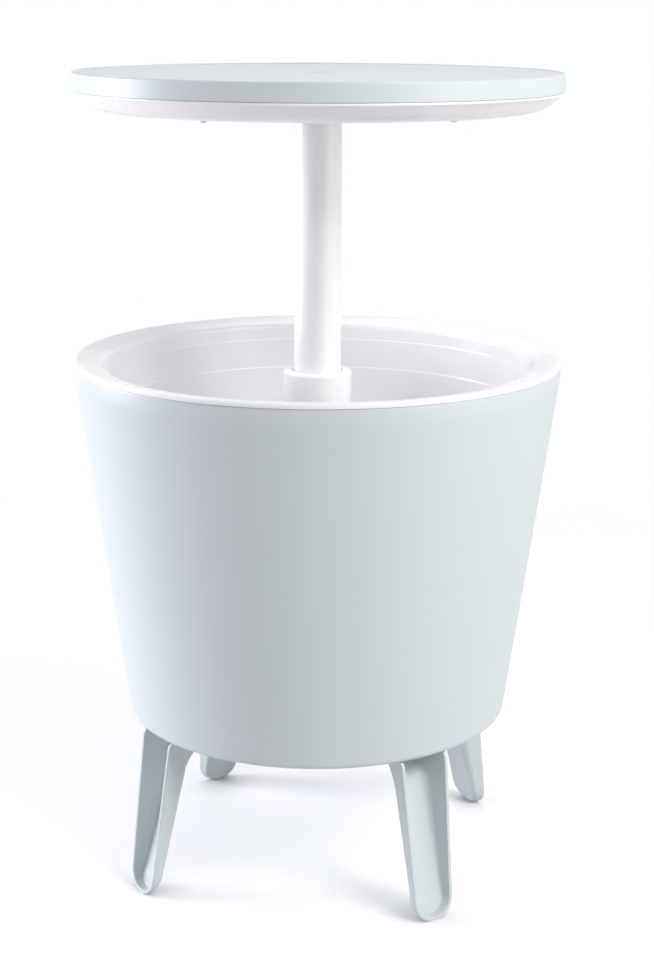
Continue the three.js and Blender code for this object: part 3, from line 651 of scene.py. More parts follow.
class TABLE_OT_bucket_shell(bpy.types.Operator):
    """Make the tapered outer shell with its recessed underside and drain hole"""

    bl_idname = "table.make_bucket_shell"
    bl_label = "Bucket shell"

    def execute(self, context):
        b = context.scene.table_bucket
        boss_radius, boss_height = 6 * MM, 14.5 * MM
        recess = b.shell_bottom + b.foot_step
        piece = turned("bucket_shell", self.outline(b, recess),
                       context.scene.table_finish.segments)
        carve(piece, [bar("hole", b.spout_radius + FIT_GAP, b.shell_bottom - PAST,
                          recess + 2 * PAST, 48, (0, b.drain_offset, 0))])
        low = b.shell_bottom + b.shell_wall * 0.5
        add_beside(piece, [tube("boss", SCREW_BORE, boss_radius, low, low + boss_height, 32, spot)
                           for spot in leg_screw_places(context.scene.table_legs)])
        dress(piece, "stand", "pale_grey_plastic", "outer_shell")
        return {"FINISHED"}

    def outline(self, b, recess):
        """From the middle of the underside up the outside, over the lip and back inside."""
        band_edge, bend_reaches, bend_inset, bend_over = 2 * MM, (9 * MM, 4 * MM), 0.06 * MM, 4 * MM
        lip_edge, lip_rounding = 0.6 * MM, ((0, 1), (0.3, 0.3), (1, 0))
        lean = math.degrees(math.atan(shell_lean(b)))
        slope = math.radians(lean)
        band = b.foot_band_inner
        corner = (b.shell_foot_radius - b.shell_corner, b.shell_bottom + b.shell_corner)
        foot = ease_corners([(0, recess, 0), (band - b.foot_step, recess, band_edge),
                             (band, b.shell_bottom, band_edge), (corner[0], b.shell_bottom, 0)], 5)
        face = foot[:-1] + [(corner[0] - MM, b.shell_bottom)]
        face += rounding_arc(corner, b.shell_corner, -90, -lean, 12)
        bend = b.shell_top - b.shell_top_band
        face += [(b.shell_top_radius - math.sin(slope) * reach, bend - math.cos(slope) * reach)
                 for reach in bend_reaches]
        face += [(b.shell_top_radius - bend_inset, bend), (b.shell_top_radius, bend + bend_over),
                 (b.shell_top_radius, b.shell_top)]
        back = offset_course(face, b.shell_wall)
        back[0] = (0, face[0][1] + b.shell_wall)
        top_out, top_in = Vector(face[-1]), Vector(back[-1])
        upward = (Vector(face[-1]) - Vector(face[-2])).normalized()
        across = (top_in - top_out).normalized()
        lip = [tuple(top_out + across * lip_edge * x - upward * lip_edge * y)
               for x, y in lip_rounding]
        lip += [tuple(top_in - across * lip_edge * x - upward * lip_edge * y)
                for x, y in reversed(lip_rounding)]
        return face[:-1] + lip + list(reversed(back[:-1]))


class TABLE_OT_bucket_liner(bpy.types.Operator):
    """Make the white liner: sloped rim, ledged wall, floor, sump and centre tower"""

    bl_idname = "table.make_bucket_liner"
    bl_label = "Bucket liner"

    def execute(self, context):
        b = context.scene.table_bucket
        sump_depth, sump_edge, boss_drop = 3 * MM, 1.5 * MM, 7 * MM
        skirt_inset, skirt_wall, skirt_drop, skirt_sunk = 5.3 * MM, 2.6 * MM, 8 * MM, 3.2 * MM
        post_radius = 5.5 * MM
        lip_low = b.shell_top + SEAT_GAP
        piece = turned("bucket_liner", self.outline(b, lip_low),
                       context.scene.table_finish.segments)
        place = (0, b.drain_offset, 0)
        sump_low = b.floor_top - sump_depth
        sump = eased("sump", [
            (0, sump_low, 0), (b.sump_radius - MM, sump_low, sump_edge),
            (b.sump_radius, b.floor_top + PAST, 0), (0, b.floor_top + PAST, 0)], 64, 5, None, place)
        boss = bar("boss", b.boss_radius, b.floor_top - boss_drop,
                   b.floor_top - b.liner_wall * 0.5, 64, place)
        hole = bar("hole", b.spout_radius + FIT_GAP, b.floor_top - 2 * PAST,
                   b.floor_top + 2 * PAST, 48, place)
        carve(piece, [boss], "UNION")
        carve(piece, [sump, hole])
        skirt = b.shell_top_radius - skirt_inset
        others = [tube("skirt", skirt - skirt_wall, skirt, lip_low - skirt_drop,
                       b.rim_top - skirt_sunk, 128)]
        others += [tube("post", SCREW_BORE, post_radius, POST_LOW, POST_HIGH, 32, spot)
                   for spot in corner_places(SLEEVE_CIRCLE)]
        add_beside(piece, others)
        dress(piece, "stand", "white_plastic", "inner_liner")
        return {"FINISHED"}

    def outline(self, b, lip_low):
        """From the lip over the rim, down the wall, over the floor, up the tower and back."""
        lip_edge, lip_flat, tower_edge = SMALL, 0.12 * MM, FINE
        fillet, crown_sunk = 10 * MM, 3.5 * MM
        corner_z = b.floor_top + b.floor_corner
        inner, wall_top = b.rim_radius - b.rim_width, b.rim_top - b.rim_drop
        around = b.shell_foot_radius + shell_lean(b) * (corner_z - b.shell_bottom - b.shell_corner)
        foot_radius = around - b.shell_wall - b.insulation - b.liner_wall
        taper = (inner - 2 * b.ledge_step - foot_radius) / (wall_top - corner_z)

        def wall_radius(height, ledges):
            return inner - (wall_top - height) * taper - ledges * b.ledge_step

        def floor_and_fillet(corner_steps, fillet_steps):
            """The rounding between wall and floor and the one at the tower's foot."""
            return rounding_arc((wall_radius(corner_z, 2) - b.floor_corner, corner_z),
                                b.floor_corner, 0, -90, corner_steps) + rounding_arc(
                (b.tower_foot_radius + fillet, b.floor_top + fillet), fillet, -90, -180,
                fillet_steps)

        rim = smooth_course([(b.rim_radius - b.rim_width * x, b.rim_top - b.rim_drop * y)
                             for x, y in RIM_COURSE], 4)
        face = [(b.rim_radius - lip_edge, lip_low), (b.rim_radius - lip_flat, lip_low + lip_flat),
                (b.rim_radius, lip_low + lip_edge)] + rim
        for i, height in enumerate(LEDGE_HEIGHTS):
            over = (wall_radius(height + b.ledge_step, i), height + b.ledge_step)
            under = (wall_radius(height, i + 1), height)
            face += shifted(over, LEDGE_OVER) + shifted(under, LEDGE_UNDER)
        face += floor_and_fillet(12, 10)
        face += [(b.tower_top_radius + 0.1 * MM, b.tower_top - MM),
                 (b.tower_top_radius - tower_edge, b.tower_top)]
        plain = [(b.rim_radius, lip_low)] + [p for p in rim[::4] if p[0] < b.rim_radius - 2 * MM]
        plain += floor_and_fillet(6, 6) + [(b.tower_top_radius, b.tower_top)]
        back = offset_course(plain[1:], b.liner_wall)
        back = [(b.rim_radius - b.liner_wall, lip_low),
                (b.rim_radius - b.liner_wall, b.rim_top - crown_sunk)] + back
        back[-1] = (b.tower_top_radius - b.liner_wall, b.tower_top)
        return face + list(reversed(back))


# Legs


def quarter_turn(steps):
    """Angles of a quarter turn, in equal steps."""
    return [math.pi / 2 * k / steps for k in range(steps + 1)]


def share_of_last(height, top, last):
    """How far a height is into the last stretch below the top, from 0 to 1."""
    return min(max((height - top + last) / last, 0.0), 1.0)


def leg_plain_depth(leg, top, height):
    """Depth of the channel without its flare."""
    return leg.depth_floor + (leg.depth_top - leg.depth_floor) * height / top


def leg_depth(leg, top, height):
    """Depth of the channel, with the flare that sweeps out under the bucket."""
    into = share_of_last(height, top, leg.flare_height)
    return leg_plain_depth(leg, top, height) + leg.flare * into ** 2 * (3 - 2 * into)


def leg_ease(leg, top, height):
    """How far the lip falls back where it rounds over under the bucket."""
    into = share_of_last(height, top, leg.top_ease_height)
    return leg.top_ease * (1 - math.sqrt(1 - into ** 2))


def leg_outline(leg, top, above=0.0, side_steps=40, arc_steps=18, ease_steps=9):
    """From the top right round the lower end to the top left, as unit directions, heights and
    whether the point lies on the round end."""
    centre = leg.end_radius - MM
    straight = top - leg.top_ease_height
    levels = [top + above] if above else []
    levels += [straight + leg.top_ease_height * math.sin(angle)
               for angle in reversed(quarter_turn(ease_steps)[1:])]
    levels += [centre + (straight - centre) * k / side_steps for k in range(side_steps, 0, -1)]
    right = [(1.0, 0.0, height, False) for height in levels]
    right += [(math.cos(angle), math.sin(angle), centre, True) for angle in quarter_turn(arc_steps)]
    return right + [(-x, down, height, r) for x, down, height, r in reversed(right[:-1])]


def leg_ring(leg, top, outline, inset, back):
    """One ring of a leg, moved inwards and back by amounts that follow the local depth."""
    centre = leg.end_radius - MM
    ring = []
    for across, down, height, is_round in outline:
        half = leg.end_radius
        if not is_round:
            half += (leg.top_width / 2 - leg.end_radius) * (height - centre) / (top - centre)
        level = min(height - down * leg.end_radius, top)
        depth = leg_depth(leg, top, level)
        corner = leg.corner_share * leg_plain_depth(leg, top, level)
        side = half - inset(depth, corner)
        z = height - down * side
        ring.append((across * side, -(leg.foot_radius - z * leg.splay - back(depth, corner, z)), z))
    return ring


def lofted(name, rings):
    """A closed body over rings with the same number of points, capped at both ends."""
    count = len(rings[0])
    verts = [point for ring in rings for point in ring]
    faces = []
    for k in range(len(rings) - 1):
        for i in range(count):
            j = (i + 1) % count
            faces.append((k * count + i, k * count + j, (k + 1) * count + j, (k + 1) * count + i))
    last = (len(rings) - 1) * count
    for i in range((count - 1) // 2):
        a, b, c, d = i, i + 1, count - 2 - i, count - 1 - i
        if b == c:
            faces += [(a, d, b), (last + a, last + b, last + d)]
        else:
            faces += [(a, d, c, b), (last + a, last + b, last + c, last + d)]
    return new_piece(name, verts, faces)


def lip_rings(leg, top, outline, offset, inward):
    """Rings of the rounded lip, beside an offset from the outer face."""
    return [leg_ring(leg, top, outline,
                     lambda depth, corner, a=a: offset + inward * leg.lip_edge * (1 - math.sin(a)),
                     lambda depth, corner, z, a=a: (leg.lip_edge * (1 - math.cos(a))
                                                    + leg_ease(leg, top, z)))
            for a in quarter_turn(4)]


def channel_rings(leg, top, outline, offset, drop):
    """Rings of the channel's side and back, from the lip inwards, at an offset from its outer
    face."""
    rings = [leg_ring(leg, top, outline,
                      lambda depth, corner, s=share: offset + leg.draft * (depth - corner) * s,
                      lambda depth, corner, z, s=share: (
                          (leg.lip_edge + leg_ease(leg, top, z)) * (1 - s) + (depth - corner) * s))
             for share in (0.12, 0.5, 0.93)]
    rings += [leg_ring(leg, top, outline,
                       lambda depth, corner, a=a: (offset + leg.draft * (depth - corner)
                                                   + (corner - drop) * (1 - math.cos(a))),
                       lambda depth, corner, z, a=a: (
                           depth - drop - (corner - drop) * (1 - math.sin(a))))
              for a in quarter_turn(12)]
    rings.append(leg_ring(
        leg, top, outline,
        lambda depth, corner: offset + leg.draft * (depth - corner) + corner - drop + MM,
        lambda depth, corner, z: depth - drop))
    return rings


def channel_leg(leg, top):
    """One leg as an open channel with a rounded lip, in the place of the front one."""
    mouth_rise, mouth_reach, room = 2 * MM, 3 * MM, 0.1
    outline = leg_outline(leg, top)
    body = lofted("leg_body", lip_rings(leg, top, outline, 0.0, 1)
                  + channel_rings(leg, top, outline, 0.0, 0.0))
    mouth = leg_outline(leg, top, mouth_rise)
    front = [leg_ring(leg, top, mouth, lambda depth, corner: leg.wall - leg.lip_edge,
                      lambda depth, corner, z: -mouth_reach)]
    hollow = lofted("leg_hollow", front + lip_rings(leg, top, mouth, leg.wall, -1)
                    + channel_rings(leg, top, mouth, leg.wall, leg.back_wall))
    plate_front = leg.foot_radius - top * leg.splay - leg.plate_inset
    plate = block("leg_plate", (room, room, leg.plate + PAST),
                  (0, room / 2 - plate_front, top - leg.plate + (leg.plate + PAST) / 2))
    carve(hollow, [plate])
    below = block("leg_below", (2 * room, 2 * room, 4 * PAST), (0, -leg.foot_radius, -2 * PAST))
    holes = screw_bores([(x, -leg.screw_circle, 0) for x in (-leg.screw_spread, leg.screw_spread)],
                        top - PAST, top + PAST, 32)
    carve(body, [hollow, below] + holes)
    return body


class TABLE_OT_legs(bpy.types.Operator):
    """Make the four splayed channel legs"""

    bl_idname = "table.make_legs"
    bl_label = "Legs"

    def execute(self, context):
        top = context.scene.table_bucket.shell_bottom - SEAT_GAP
        first = channel_leg(context.scene.table_legs, top)
        for name, turn in zip(LEG_NAMES, LEG_TURNS):
            mesh = first.data.copy()
            mesh.transform(Matrix.Rotation(turn, 4, "Z"))
            mesh.name = f"channel_leg_{name}"
            dress(new_object(mesh.name, mesh), "stand", "pale_grey_plastic", f"leg_{name}")
        bpy.data.objects.remove(first)
        return {"FINISHED"}


# Pole, collar and guide


def key_blocks(name, lift, size, radius, level):
    """A block at each of the two keys of the pole."""
    return [block(name, size, (radius, 0, level), side + lift.key_turn) for side in (0, math.pi)]


class TABLE_OT_pole(bpy.types.Operator):
    """Make the pole with its key grooves, its shoe and its head flange"""

    bl_idname = "table.make_pole"
    bl_label = "Pole"

    def execute(self, context):
        lift = context.scene.table_lift
        radius, bore = lift.pole_radius, lift.pole_radius - lift.pole_wall
        low, high = heights("pole")
        pole = eased("lift_pole", [(bore, low, FINE), (radius, low, LIGHT), (radius, high, 0),
                                   (bore, high, 0)], 128)
        groove_top = heights("top_pan")[0] - SEAT_GAP
        carve(pole, key_blocks(
            "groove", lift, (lift.groove_depth * 2, lift.groove_width, groove_top - low + PAST),
            radius, (groove_top + low - PAST) / 2))
        dress(pole, "lid", "white_plastic", "pole")
        self.make_shoe(radius, bore, low)
        self.make_head(bore, high)
        return {"FINISHED"}

    def make_shoe(self, pole_radius, bore, pole_low):
        radius, plug_length = 29 * MM, 17 * MM
        low, high = heights("pole_foot")
        cup = pole_low - SEAT_GAP
        outside, inside = pole_radius + SEAT_GAP, bore - FIT_GAP
        shoe = eased("pole_shoe", [
            (ROD_BORE, low, FINE), (radius, low, FULL), (radius, high, SMALL),
            (outside, high, FINE), (outside, cup, 0), (inside, cup, 0),
            (inside, cup + plug_length, MM), (ROD_BORE, cup + plug_length, SMALL)], 96)
        dress(shoe, "lid", "white_plastic", "pole_foot")

    def make_head(self, bore, pole_high):
        flange_radius, flange_thick, hub_radius, hub_foot = 46 * MM, 4 * MM, 18 * MM, 2 * MM
        seat_above, recess_depth, spigot_wall = 38 * MM, 9 * MM, 4.4 * MM
        boss_radius, boss_low, boss_high = 5 * MM, 2 * MM, 13 * MM
        low, high = heights("pole_head")
        if low > pole_high:
            raise RuntimeError("the head's spigot doesn't reach into the pole")
        seat = low + seat_above
        spigot = bore - FIT_GAP
        inside, recess, flange = spigot - spigot_wall, seat - recess_depth, seat + flange_thick
        head = eased("pole_flange", [
            (ROD_BORE, recess, 0), (inside, recess, MM), (inside, low, SMALL), (spigot, low, MM),
            (spigot, seat, 0), (flange_radius, seat, SMALL), (flange_radius, flange, SOFT),
            (hub_radius, flange, hub_foot), (hub_radius, high, LIGHT), (ROD_BORE, high, FINE)], 96)
        add_beside(head, [tube("boss", SCREW_BORE, boss_radius, seat + boss_low, seat + boss_high,
                               32, spot) for spot in corner_places(HEAD_CIRCLE)])
        dress(head, "lid", "white_plastic", "pole_head")


class TABLE_OT_collar(bpy.types.Operator):
    """Make the twist collar and the guide sleeve it turns on"""

    bl_idname = "table.make_collar"
    bl_label = "Collar and guide"

    def execute(self, context):
        lift = context.scene.table_lift
        self.make_collar(lift)
        self.make_sleeve(lift)
        return {"FINISHED"}

    def make_collar(self, lift):
        # down the bore from its shoulder: the groove that snaps over the sleeve's bead
        bead_groove = ((0, -6.4), (0.8, -7.2), (0.8, -10.5), (0, -11.3))
        notch_depth, notch_thick, notch_wide = 6 * MM, 3.6 * MM, 5.2 * MM
        key_below, key_above, key_thick, key_wide = 0.5 * MM, 2 * MM, 2.8 * MM, 4 * MM
        low, high = heights("lock_collar")
        shoulder = heights("pole_guide_sleeve")[1] + FIT_GAP
        bore, wide = lift.pole_radius + FIT_GAP, lift.sleeve_radius + FIT_GAP
        collar = eased("twist_collar", [
            (wide, low, CRISP), (lift.collar_radius, low, MILD),
            (lift.collar_radius, high, lift.collar_edge), (bore, high, MILD),
            (bore, shoulder, KNIFE), (wide, shoulder, 0)]
            + [(*point, 0) for point in shifted((wide, shoulder), bead_groove)], 160, 7)
        carve(collar, key_blocks("notch", lift, (notch_thick, notch_wide, notch_depth * 2),
                                 bore, high))
        key_high = high - notch_depth - key_below
        add_beside(collar, key_blocks(
            "key", lift, (key_thick, key_wide, key_high - shoulder - key_above),
            bore, (key_high + shoulder + key_above) / 2))
        dress(collar, "collar", "white_plastic", "lock_collar")

    def make_sleeve(self, lift):
        flange_radius, flange_top, flange_thick, fillet = 50 * MM, 0.304, 4 * MM, 2 * MM
        pole_bore, end_thick, hole_past = 24 * MM, 5 * MM, 5 * MM
        bead_low, bead = 0.5049, ((0, 0), (0.8, 0.8), (0.8, 2.4), (0, 3.2))
        low, high = heights("pole_guide_sleeve")
        outer, flange_low = lift.sleeve_radius, flange_top - flange_thick
        sleeve = eased("guide_sleeve", [
            (pole_bore, low, LIGHT), (outer, low, SOFT), (outer, flange_low, fillet),
            (flange_radius, flange_low, SOFT), (flange_radius, flange_top, SOFT),
            (outer, flange_top, fillet)]
            + [(*point, 0) for point in shifted((outer, bead_low), bead)]
            + [(outer, high, FINE), (lift.sleeve_bore, high, LIGHT),
               (lift.sleeve_bore, low + end_thick, 0), (pole_bore, low + end_thick, LIGHT)], 128)
        carve(sleeve, screw_bores(corner_places(SLEEVE_CIRCLE), flange_top - PAST,
                                  flange_top + hole_past))
        dress(sleeve, "stand", "white_plastic", "pole_guide_sleeve")


# Table top


# The pan from under its flange to its flat underside, as shares of the top's radius and its depth
PAN_COURSE = ((0.983, 0.175), (0.9765, 0.26), (0.9657, 0.38), (0.9545, 0.505), (0.9434, 0.62),
              (0.931, 0.72), (0.9172, 0.805), (0.896, 0.9), (0.872, 0.965), (0.8485, 0.995),
              (0.82, 1.0))


def pan_screw_places(t):
    """Places of the screws that hold the pan under the top."""
    return round_places(4, t.screw_circle, t.screw_turn)


class TABLE_OT_top(bpy.types.Operator):
    """Make the dished table top with its band, raised rim and cap"""

    bl_idname = "table.make_top"
    bl_label = "Table top"

    def execute(self, context):
        t = context.scene.table_top
        surface = t.height - t.rim_rise
        bottom = t.height - t.band
        piece = turned("serving_top", self.outline(t, surface, bottom),
                       context.scene.table_finish.segments)
        add_beside(piece, self.ribs(t, surface, bottom))
        dress(piece, "lid", "pale_grey_plastic", "table_top")
        self.make_cap()
        return {"FINISHED"}

    def outline(self, t, surface, bottom):
        """From the band's lower edge over the rim to the cap's pocket and back underneath."""
        rim_width, pocket, pocket_depth, inner_corner = 2.5 * MM, 15 * MM, 8 * MM, 2 * MM
        rim_fall, rim_foot = ((0.3, -0.04), (-0.35, -0.5)), ((-1, 0.08), (-2, 0))
        pocket_edge, pocket_slack = ((0.4, 0), (0.05, -0.12), (-0.05, -0.5)), 0.1 * MM
        recess, under = surface - pocket_depth, surface - t.wall
        edge = t.radius - t.edge
        rim_in = edge - rim_width
        outline = [(t.radius - FINE, bottom), (t.radius, bottom + FINE)]
        outline += rounding_arc((edge, t.height - t.edge), t.edge, 0, 90, 8)
        outline += smooth_course([(edge - LIGHT, t.height), *shifted((rim_in, t.height), rim_fall),
                                  *shifted((rim_in, surface), rim_foot)], 4)
        outline += shifted((pocket, surface), pocket_edge)
        return outline + [
            (pocket - pocket_slack, recess), (ROD_BORE, recess), (ROD_BORE, recess - t.wall),
            (pocket + t.wall, recess - t.wall), (pocket + t.wall, under),
            (t.radius - t.wall - inner_corner, under), (t.radius - t.wall, under - inner_corner),
            (t.radius - t.wall, bottom)]

    def ribs(self, t, surface, bottom):
        """Hoops, ribs and screw pillars under the top, sunk half a wall into it."""
        thick, depth, count = 2.4 * MM, 8 * MM, 8
        rib_inner, rib_short = 24 * MM, 28 * MM
        pillar_radius, pillar_above = 5.5 * MM, 2.8 * MM
        low, into = surface - t.wall - depth, surface - t.wall * 0.5
        long = t.radius - t.wall - rib_short
        others = [tube("hoop", radius - thick, radius, low, into, 96)
                  for radius in (105 * MM, 26.4 * MM)]
        others += [block("rib", (long, thick, depth + t.wall * 0.5),
                         (rib_inner + long / 2, 0, low + depth / 2 + t.wall * 0.25),
                         2 * math.pi * i / count) for i in range(count)]
        return others + [tube("pillar", SCREW_BORE, pillar_radius,
                              bottom - t.pan_depth + pillar_above, into, 32, spot)
                         for spot in pan_screw_places(t)]

    def make_cap(self):
        radius, skirt, ceiling_above, crown = 14.6 * MM, 2.4 * MM, 3.7 * MM, 0.25 * MM
        groove_outer, groove_inner, groove_depth = 10.6 * MM, 9.2 * MM, 0.5 * MM
        low, high = heights("centre_cap")
        ceiling, inside, groove = low + ceiling_above, radius - skirt, high - groove_depth
        cap = eased("rod_cap", [
            (0, ceiling, 0), (inside, ceiling, FINE), (inside, low, CRISP), (radius, low, CRISP),
            (radius, high, SMALL), (groove_outer, high, CRISP),
            (groove_outer - FINE, groove, CRISP), (groove_inner + FINE, groove, CRISP),
            (groove_inner, high, CRISP), (0, high + crown, 0)], 96)
        dress(cap, "lid", "pale_grey_plastic", "centre_cap")


class TABLE_OT_pan(bpy.types.Operator):
    """Make the white pan that closes the table top from below"""

    bl_idname = "table.make_pan"
    bl_label = "Pan"

    def execute(self, context):
        t = context.scene.table_top
        ring_wall, ring_low, ring_high = 2.6 * MM, 1.5 * MM, 7 * MM
        boss_radius, boss_drop, boss_flare = 6 * MM, 3 * MM, 0.3 * MM
        band_low = t.height - t.band
        low = band_low - t.pan_depth
        hole = context.scene.table_lift.pole_radius + FIT_GAP
        piece = turned("under_pan", self.outline(t, band_low, low, hole),
                       context.scene.table_finish.segments)
        carve(piece, screw_bores(corner_places(HEAD_CIRCLE), low - PAST, low + PAST))
        ring = t.radius - t.wall - FIT_GAP
        boss = [(SCREW_BORE, low - boss_drop, CRISP), (boss_radius, low - boss_drop, SOFT),
                (boss_radius + boss_flare, low + MM, 0), (SCREW_BORE, low + MM, 0)]
        add_beside(piece, [tube("ring", ring - ring_wall, ring, band_low - ring_low,
                                band_low + ring_high, 160)]
                   + [eased("boss", boss, 48, 4, None, spot) for spot in pan_screw_places(t)])
        dress(piece, "lid", "white_plastic", "top_pan")
        return {"FINISHED"}

    def outline(self, t, band_low, low, hole):
        """From the flange's upper edge over the underside to the pole's hole and back above."""
        flange_inset, flange_upper = 0.7 * MM, ((-0.1, -0.35), (0, -0.7))
        flange_lower, sweep_start = ((0, 0.5), (-0.15, 0.15), (-0.5, 0)), ((0.6, 0), (0.15, -0.08))
        flange = t.radius - flange_inset
        flange_low = band_low - SEAT_GAP - t.pan_wall
        sweep = smooth_course([(t.radius * x, band_low - t.pan_depth * y)
                               for x, y in PAN_COURSE], 4)
        face = shifted((flange, band_low), flange_upper)
        face += shifted((flange, flange_low), flange_lower)
        face += shifted((sweep[0][0], flange_low), sweep_start)
        face += sweep[1:] + [(hole + SMALL, low), (hole, low + SMALL)]
        upper = offset_course([(flange, flange_low)] + [sweep[0]] + sweep[4::4], -t.pan_wall)
        return face + [(hole, low + t.pan_wall)] + list(reversed(upper[1:])) + [
            (flange - SMALL, band_low - SEAT_GAP)]


# Screws


HEAD_OF_SCREW, HEAD_OF_LEG_SCREW = (4 * MM, 2 * MM), (4.2 * MM, 2.4 * MM)
SHANK_RADIUS = 1.7 * MM


def screw_tree():
    """Pan head screws with a cross recess, one on every point of a mesh."""
    # shares of the head's height, and below them shares of its radius
    ball_sunk, ball_rise, cut_level, slot_level = -0.22, 0.78, 1.98, -0.98
    slot_long, slot_thin, cutter_size, shank_sunk = 1.15, 0.24, 4, -0.1 * MM
    tree = bpy.data.node_groups.new("Pan head screws", "GeometryNodeTree")
    for label, kind, default in (
            ("Places", "Geometry", None), ("Head Radius", "Float", HEAD_OF_SCREW[0]),
            ("Head Height", "Float", HEAD_OF_SCREW[1]), ("Shank Radius", "Float", SHANK_RADIUS),
            ("Shank Length", "Float", 16 * MM), ("Finish", "Material", None), ("Seed", "Int", 7)):
        socket = tree.interface.new_socket(name=label, in_out="INPUT",
                                           socket_type="NodeSocket" + kind)
        if default is not None:
            socket.default_value = default
        if kind == "Float":
            socket.min_value = 0.0
    tree.interface.new_socket(name="Screws", in_out="OUTPUT", socket_type="NodeSocketGeometry")
    wiring = Wiring(tree)
    add, times = wiring.add, wiring.times
    given = add("NodeGroupInput", {})
    head_r, head_h = given["Head Radius"], given["Head Height"]

    def vector(x, y, z):
        return add("ShaderNodeCombineXYZ", {0: x, 1: y, 2: z})[0]

    def placed(geometry, level, **scale):
        return add("GeometryNodeTransform", {"Geometry": geometry,
                                             "Translation": vector(0, 0, level), **scale})[0]

    def box(x, y, z, level):
        return placed(add("GeometryNodeMeshCube", {"Size": vector(x, y, z)})["Mesh"],
                      times(head_h, level))

    ball = add("GeometryNodeMeshUVSphere", {"Segments": 32, "Rings": 16, "Radius": head_r})["Mesh"]
    shaped = placed(ball, times(head_h, ball_sunk), Scale=vector(
        1, 1, wiring.maths("DIVIDE", times(head_h, ball_rise), head_r)))
    wide, long, thin = (times(head_r, share) for share in (cutter_size, slot_long, slot_thin))
    for cutter in (box(wide, wide, times(head_h, cutter_size), cut_level),
                   box(long, thin, head_h, slot_level), box(thin, long, head_h, slot_level)):
        shaped = add("GeometryNodeMeshBoolean", {"Mesh 1": shaped, "Mesh 2": cutter},
                     operation="DIFFERENCE")["Mesh"]
    shank = add("GeometryNodeMeshCylinder", {"Vertices": 24, "Radius": given["Shank Radius"],
                                             "Depth": given["Shank Length"]})["Mesh"]
    middle = wiring.plus(times(given["Shank Length"], 0.5), shank_sunk)
    joined = tree.nodes.new("GeometryNodeJoinGeometry")
    for piece in (placed(shank, middle), shaped):
        wiring.feed(joined.inputs[0], piece)
    turn = add("FunctionNodeRandomValue", {"Max": (0.0, 0.0, math.pi), "Seed": given["Seed"]},
               data_type="FLOAT_VECTOR")
    spread = add("GeometryNodeInstanceOnPoints", {
        "Points": given["Places"], "Instance": joined.outputs[0], "Rotation": turn["Value"]})
    real = add("GeometryNodeRealizeInstances", {0: spread[0]})
    coat = add("GeometryNodeSetMaterial", {"Geometry": real[0], "Material": given["Finish"]})
    wiring.feed(tree.nodes.new("NodeGroupOutput").inputs["Screws"], coat[0])
    return tree


def screw_set(name, tree, node, places, head, length, seed):
    """Screws of one size as a plain mesh, at the level of one node. Head is radius and height."""
    head_sunk = 0.25 * MM
    seat = Vector((0, 0, heights(node)[0] + head[1] + head_sunk))
    piece = new_object(name, new_mesh(name, [tuple(place + seat) for place in places], []))
    step = piece.modifiers.new("screws", "NODES")
    step.node_group = tree
    keys = {item.name: item.identifier for item in tree.interface.items_tree
            if item.item_type == "SOCKET" and item.in_out == "INPUT"}
    for label, value in (("Head Radius", head[0]), ("Head Height", head[1]),
                         ("Shank Radius", SHANK_RADIUS), ("Shank Length", length),
                         ("Finish", finish("stainless_steel")), ("Seed", seed)):
        step[keys[label]] = value
    apply_modifiers(piece)
    return piece


def numbered(stem, count):
    """Names of the nodes of one set."""
    return [f"{stem}_{i}" for i in range(1, count + 1)]


class TABLE_OT_screws(bpy.types.Operator):
    """Make the screws of the stand and of the lid"""

    bl_idname = "table.make_screws"
    bl_label = "Screws"

    def execute(self, context):
        tree = screw_tree()
        stand = screw_set("stand_screws", tree, "leg_screw_front_right_1",
                          leg_screw_places(context.scene.table_legs), HEAD_OF_LEG_SCREW, 18 * MM, 3)
        add_beside(stand, [screw_set("sleeve_screws", tree, "sleeve_screw_1",
                                     corner_places(SLEEVE_CIRCLE), HEAD_OF_SCREW, 15.9 * MM, 5)])
        nodes = [node for name in LEG_NAMES for node in numbered(f"leg_screw_{name}", 2)]
        dress(stand, "stand", "stainless_steel", *nodes, *numbered("sleeve_screw", 4))
        lid = screw_set("lid_screws", tree, "pan_screw_1",
                        pan_screw_places(context.scene.table_top), HEAD_OF_SCREW, 15 * MM, 11)
        add_beside(lid, [screw_set("head_screws", tree, "head_screw_1",
                                   corner_places(HEAD_CIRCLE), HEAD_OF_SCREW, 12 * MM, 13)])
        dress(lid, "lid", "stainless_steel", *numbered("pan_screw", 4), *numbered("head_screw", 4))
        return {"FINISHED"}


# Tie rod and drain


def hexed(name, radius, low, high, edge=0.4 * MM):
    """A hexagon bar with eased ends."""
    return turned(name, [(0, low), (radius - edge, low), (radius, low + edge),
                         (radius, high - edge), (radius - edge, high), (0, high)], 6)


class TABLE_OT_tie_rod(bpy.types.Operator):
    """Make the tie rod, its washer and its nut"""

    bl_idname = "table.make_tie_rod"
    bl_label = "Tie rod"

    def execute(self, context):
        rod_radius, head_radius, head_height, nut_radius = 4 * MM, 6.5 * MM, 3 * MM, 7 * MM
        washer_radius, nut_bore, hole_past = 10 * MM, 4.3 * MM, 5 * MM
        low, high = heights("tie_rod")
        rod = bar("clamp_rod", rod_radius, low, high - head_height / 2, 48)
        add_beside(rod, [hexed("head", head_radius, high - head_height, high)])
        dress(rod, "lid", "stainless_steel", "tie_rod")
        low, high = heights("tie_rod_washer")
        washer = eased("clamp_washer", [
            (ROD_BORE, low, KNIFE), (washer_radius, low, CRISP), (washer_radius, high, CRISP),
            (ROD_BORE, high, KNIFE)], 64, 3)
        dress(washer, "lid", "stainless_steel", "tie_rod_washer")
        low, high = heights("tie_rod_nut")
        nut = hexed("clamp_nut", nut_radius, low, high)
        carve(nut, [bar("hole", nut_bore, low - hole_past, high + hole_past, 32)])
        dress(nut, "lid", "stainless_steel", "tie_rod_nut")
        return {"FINISHED"}


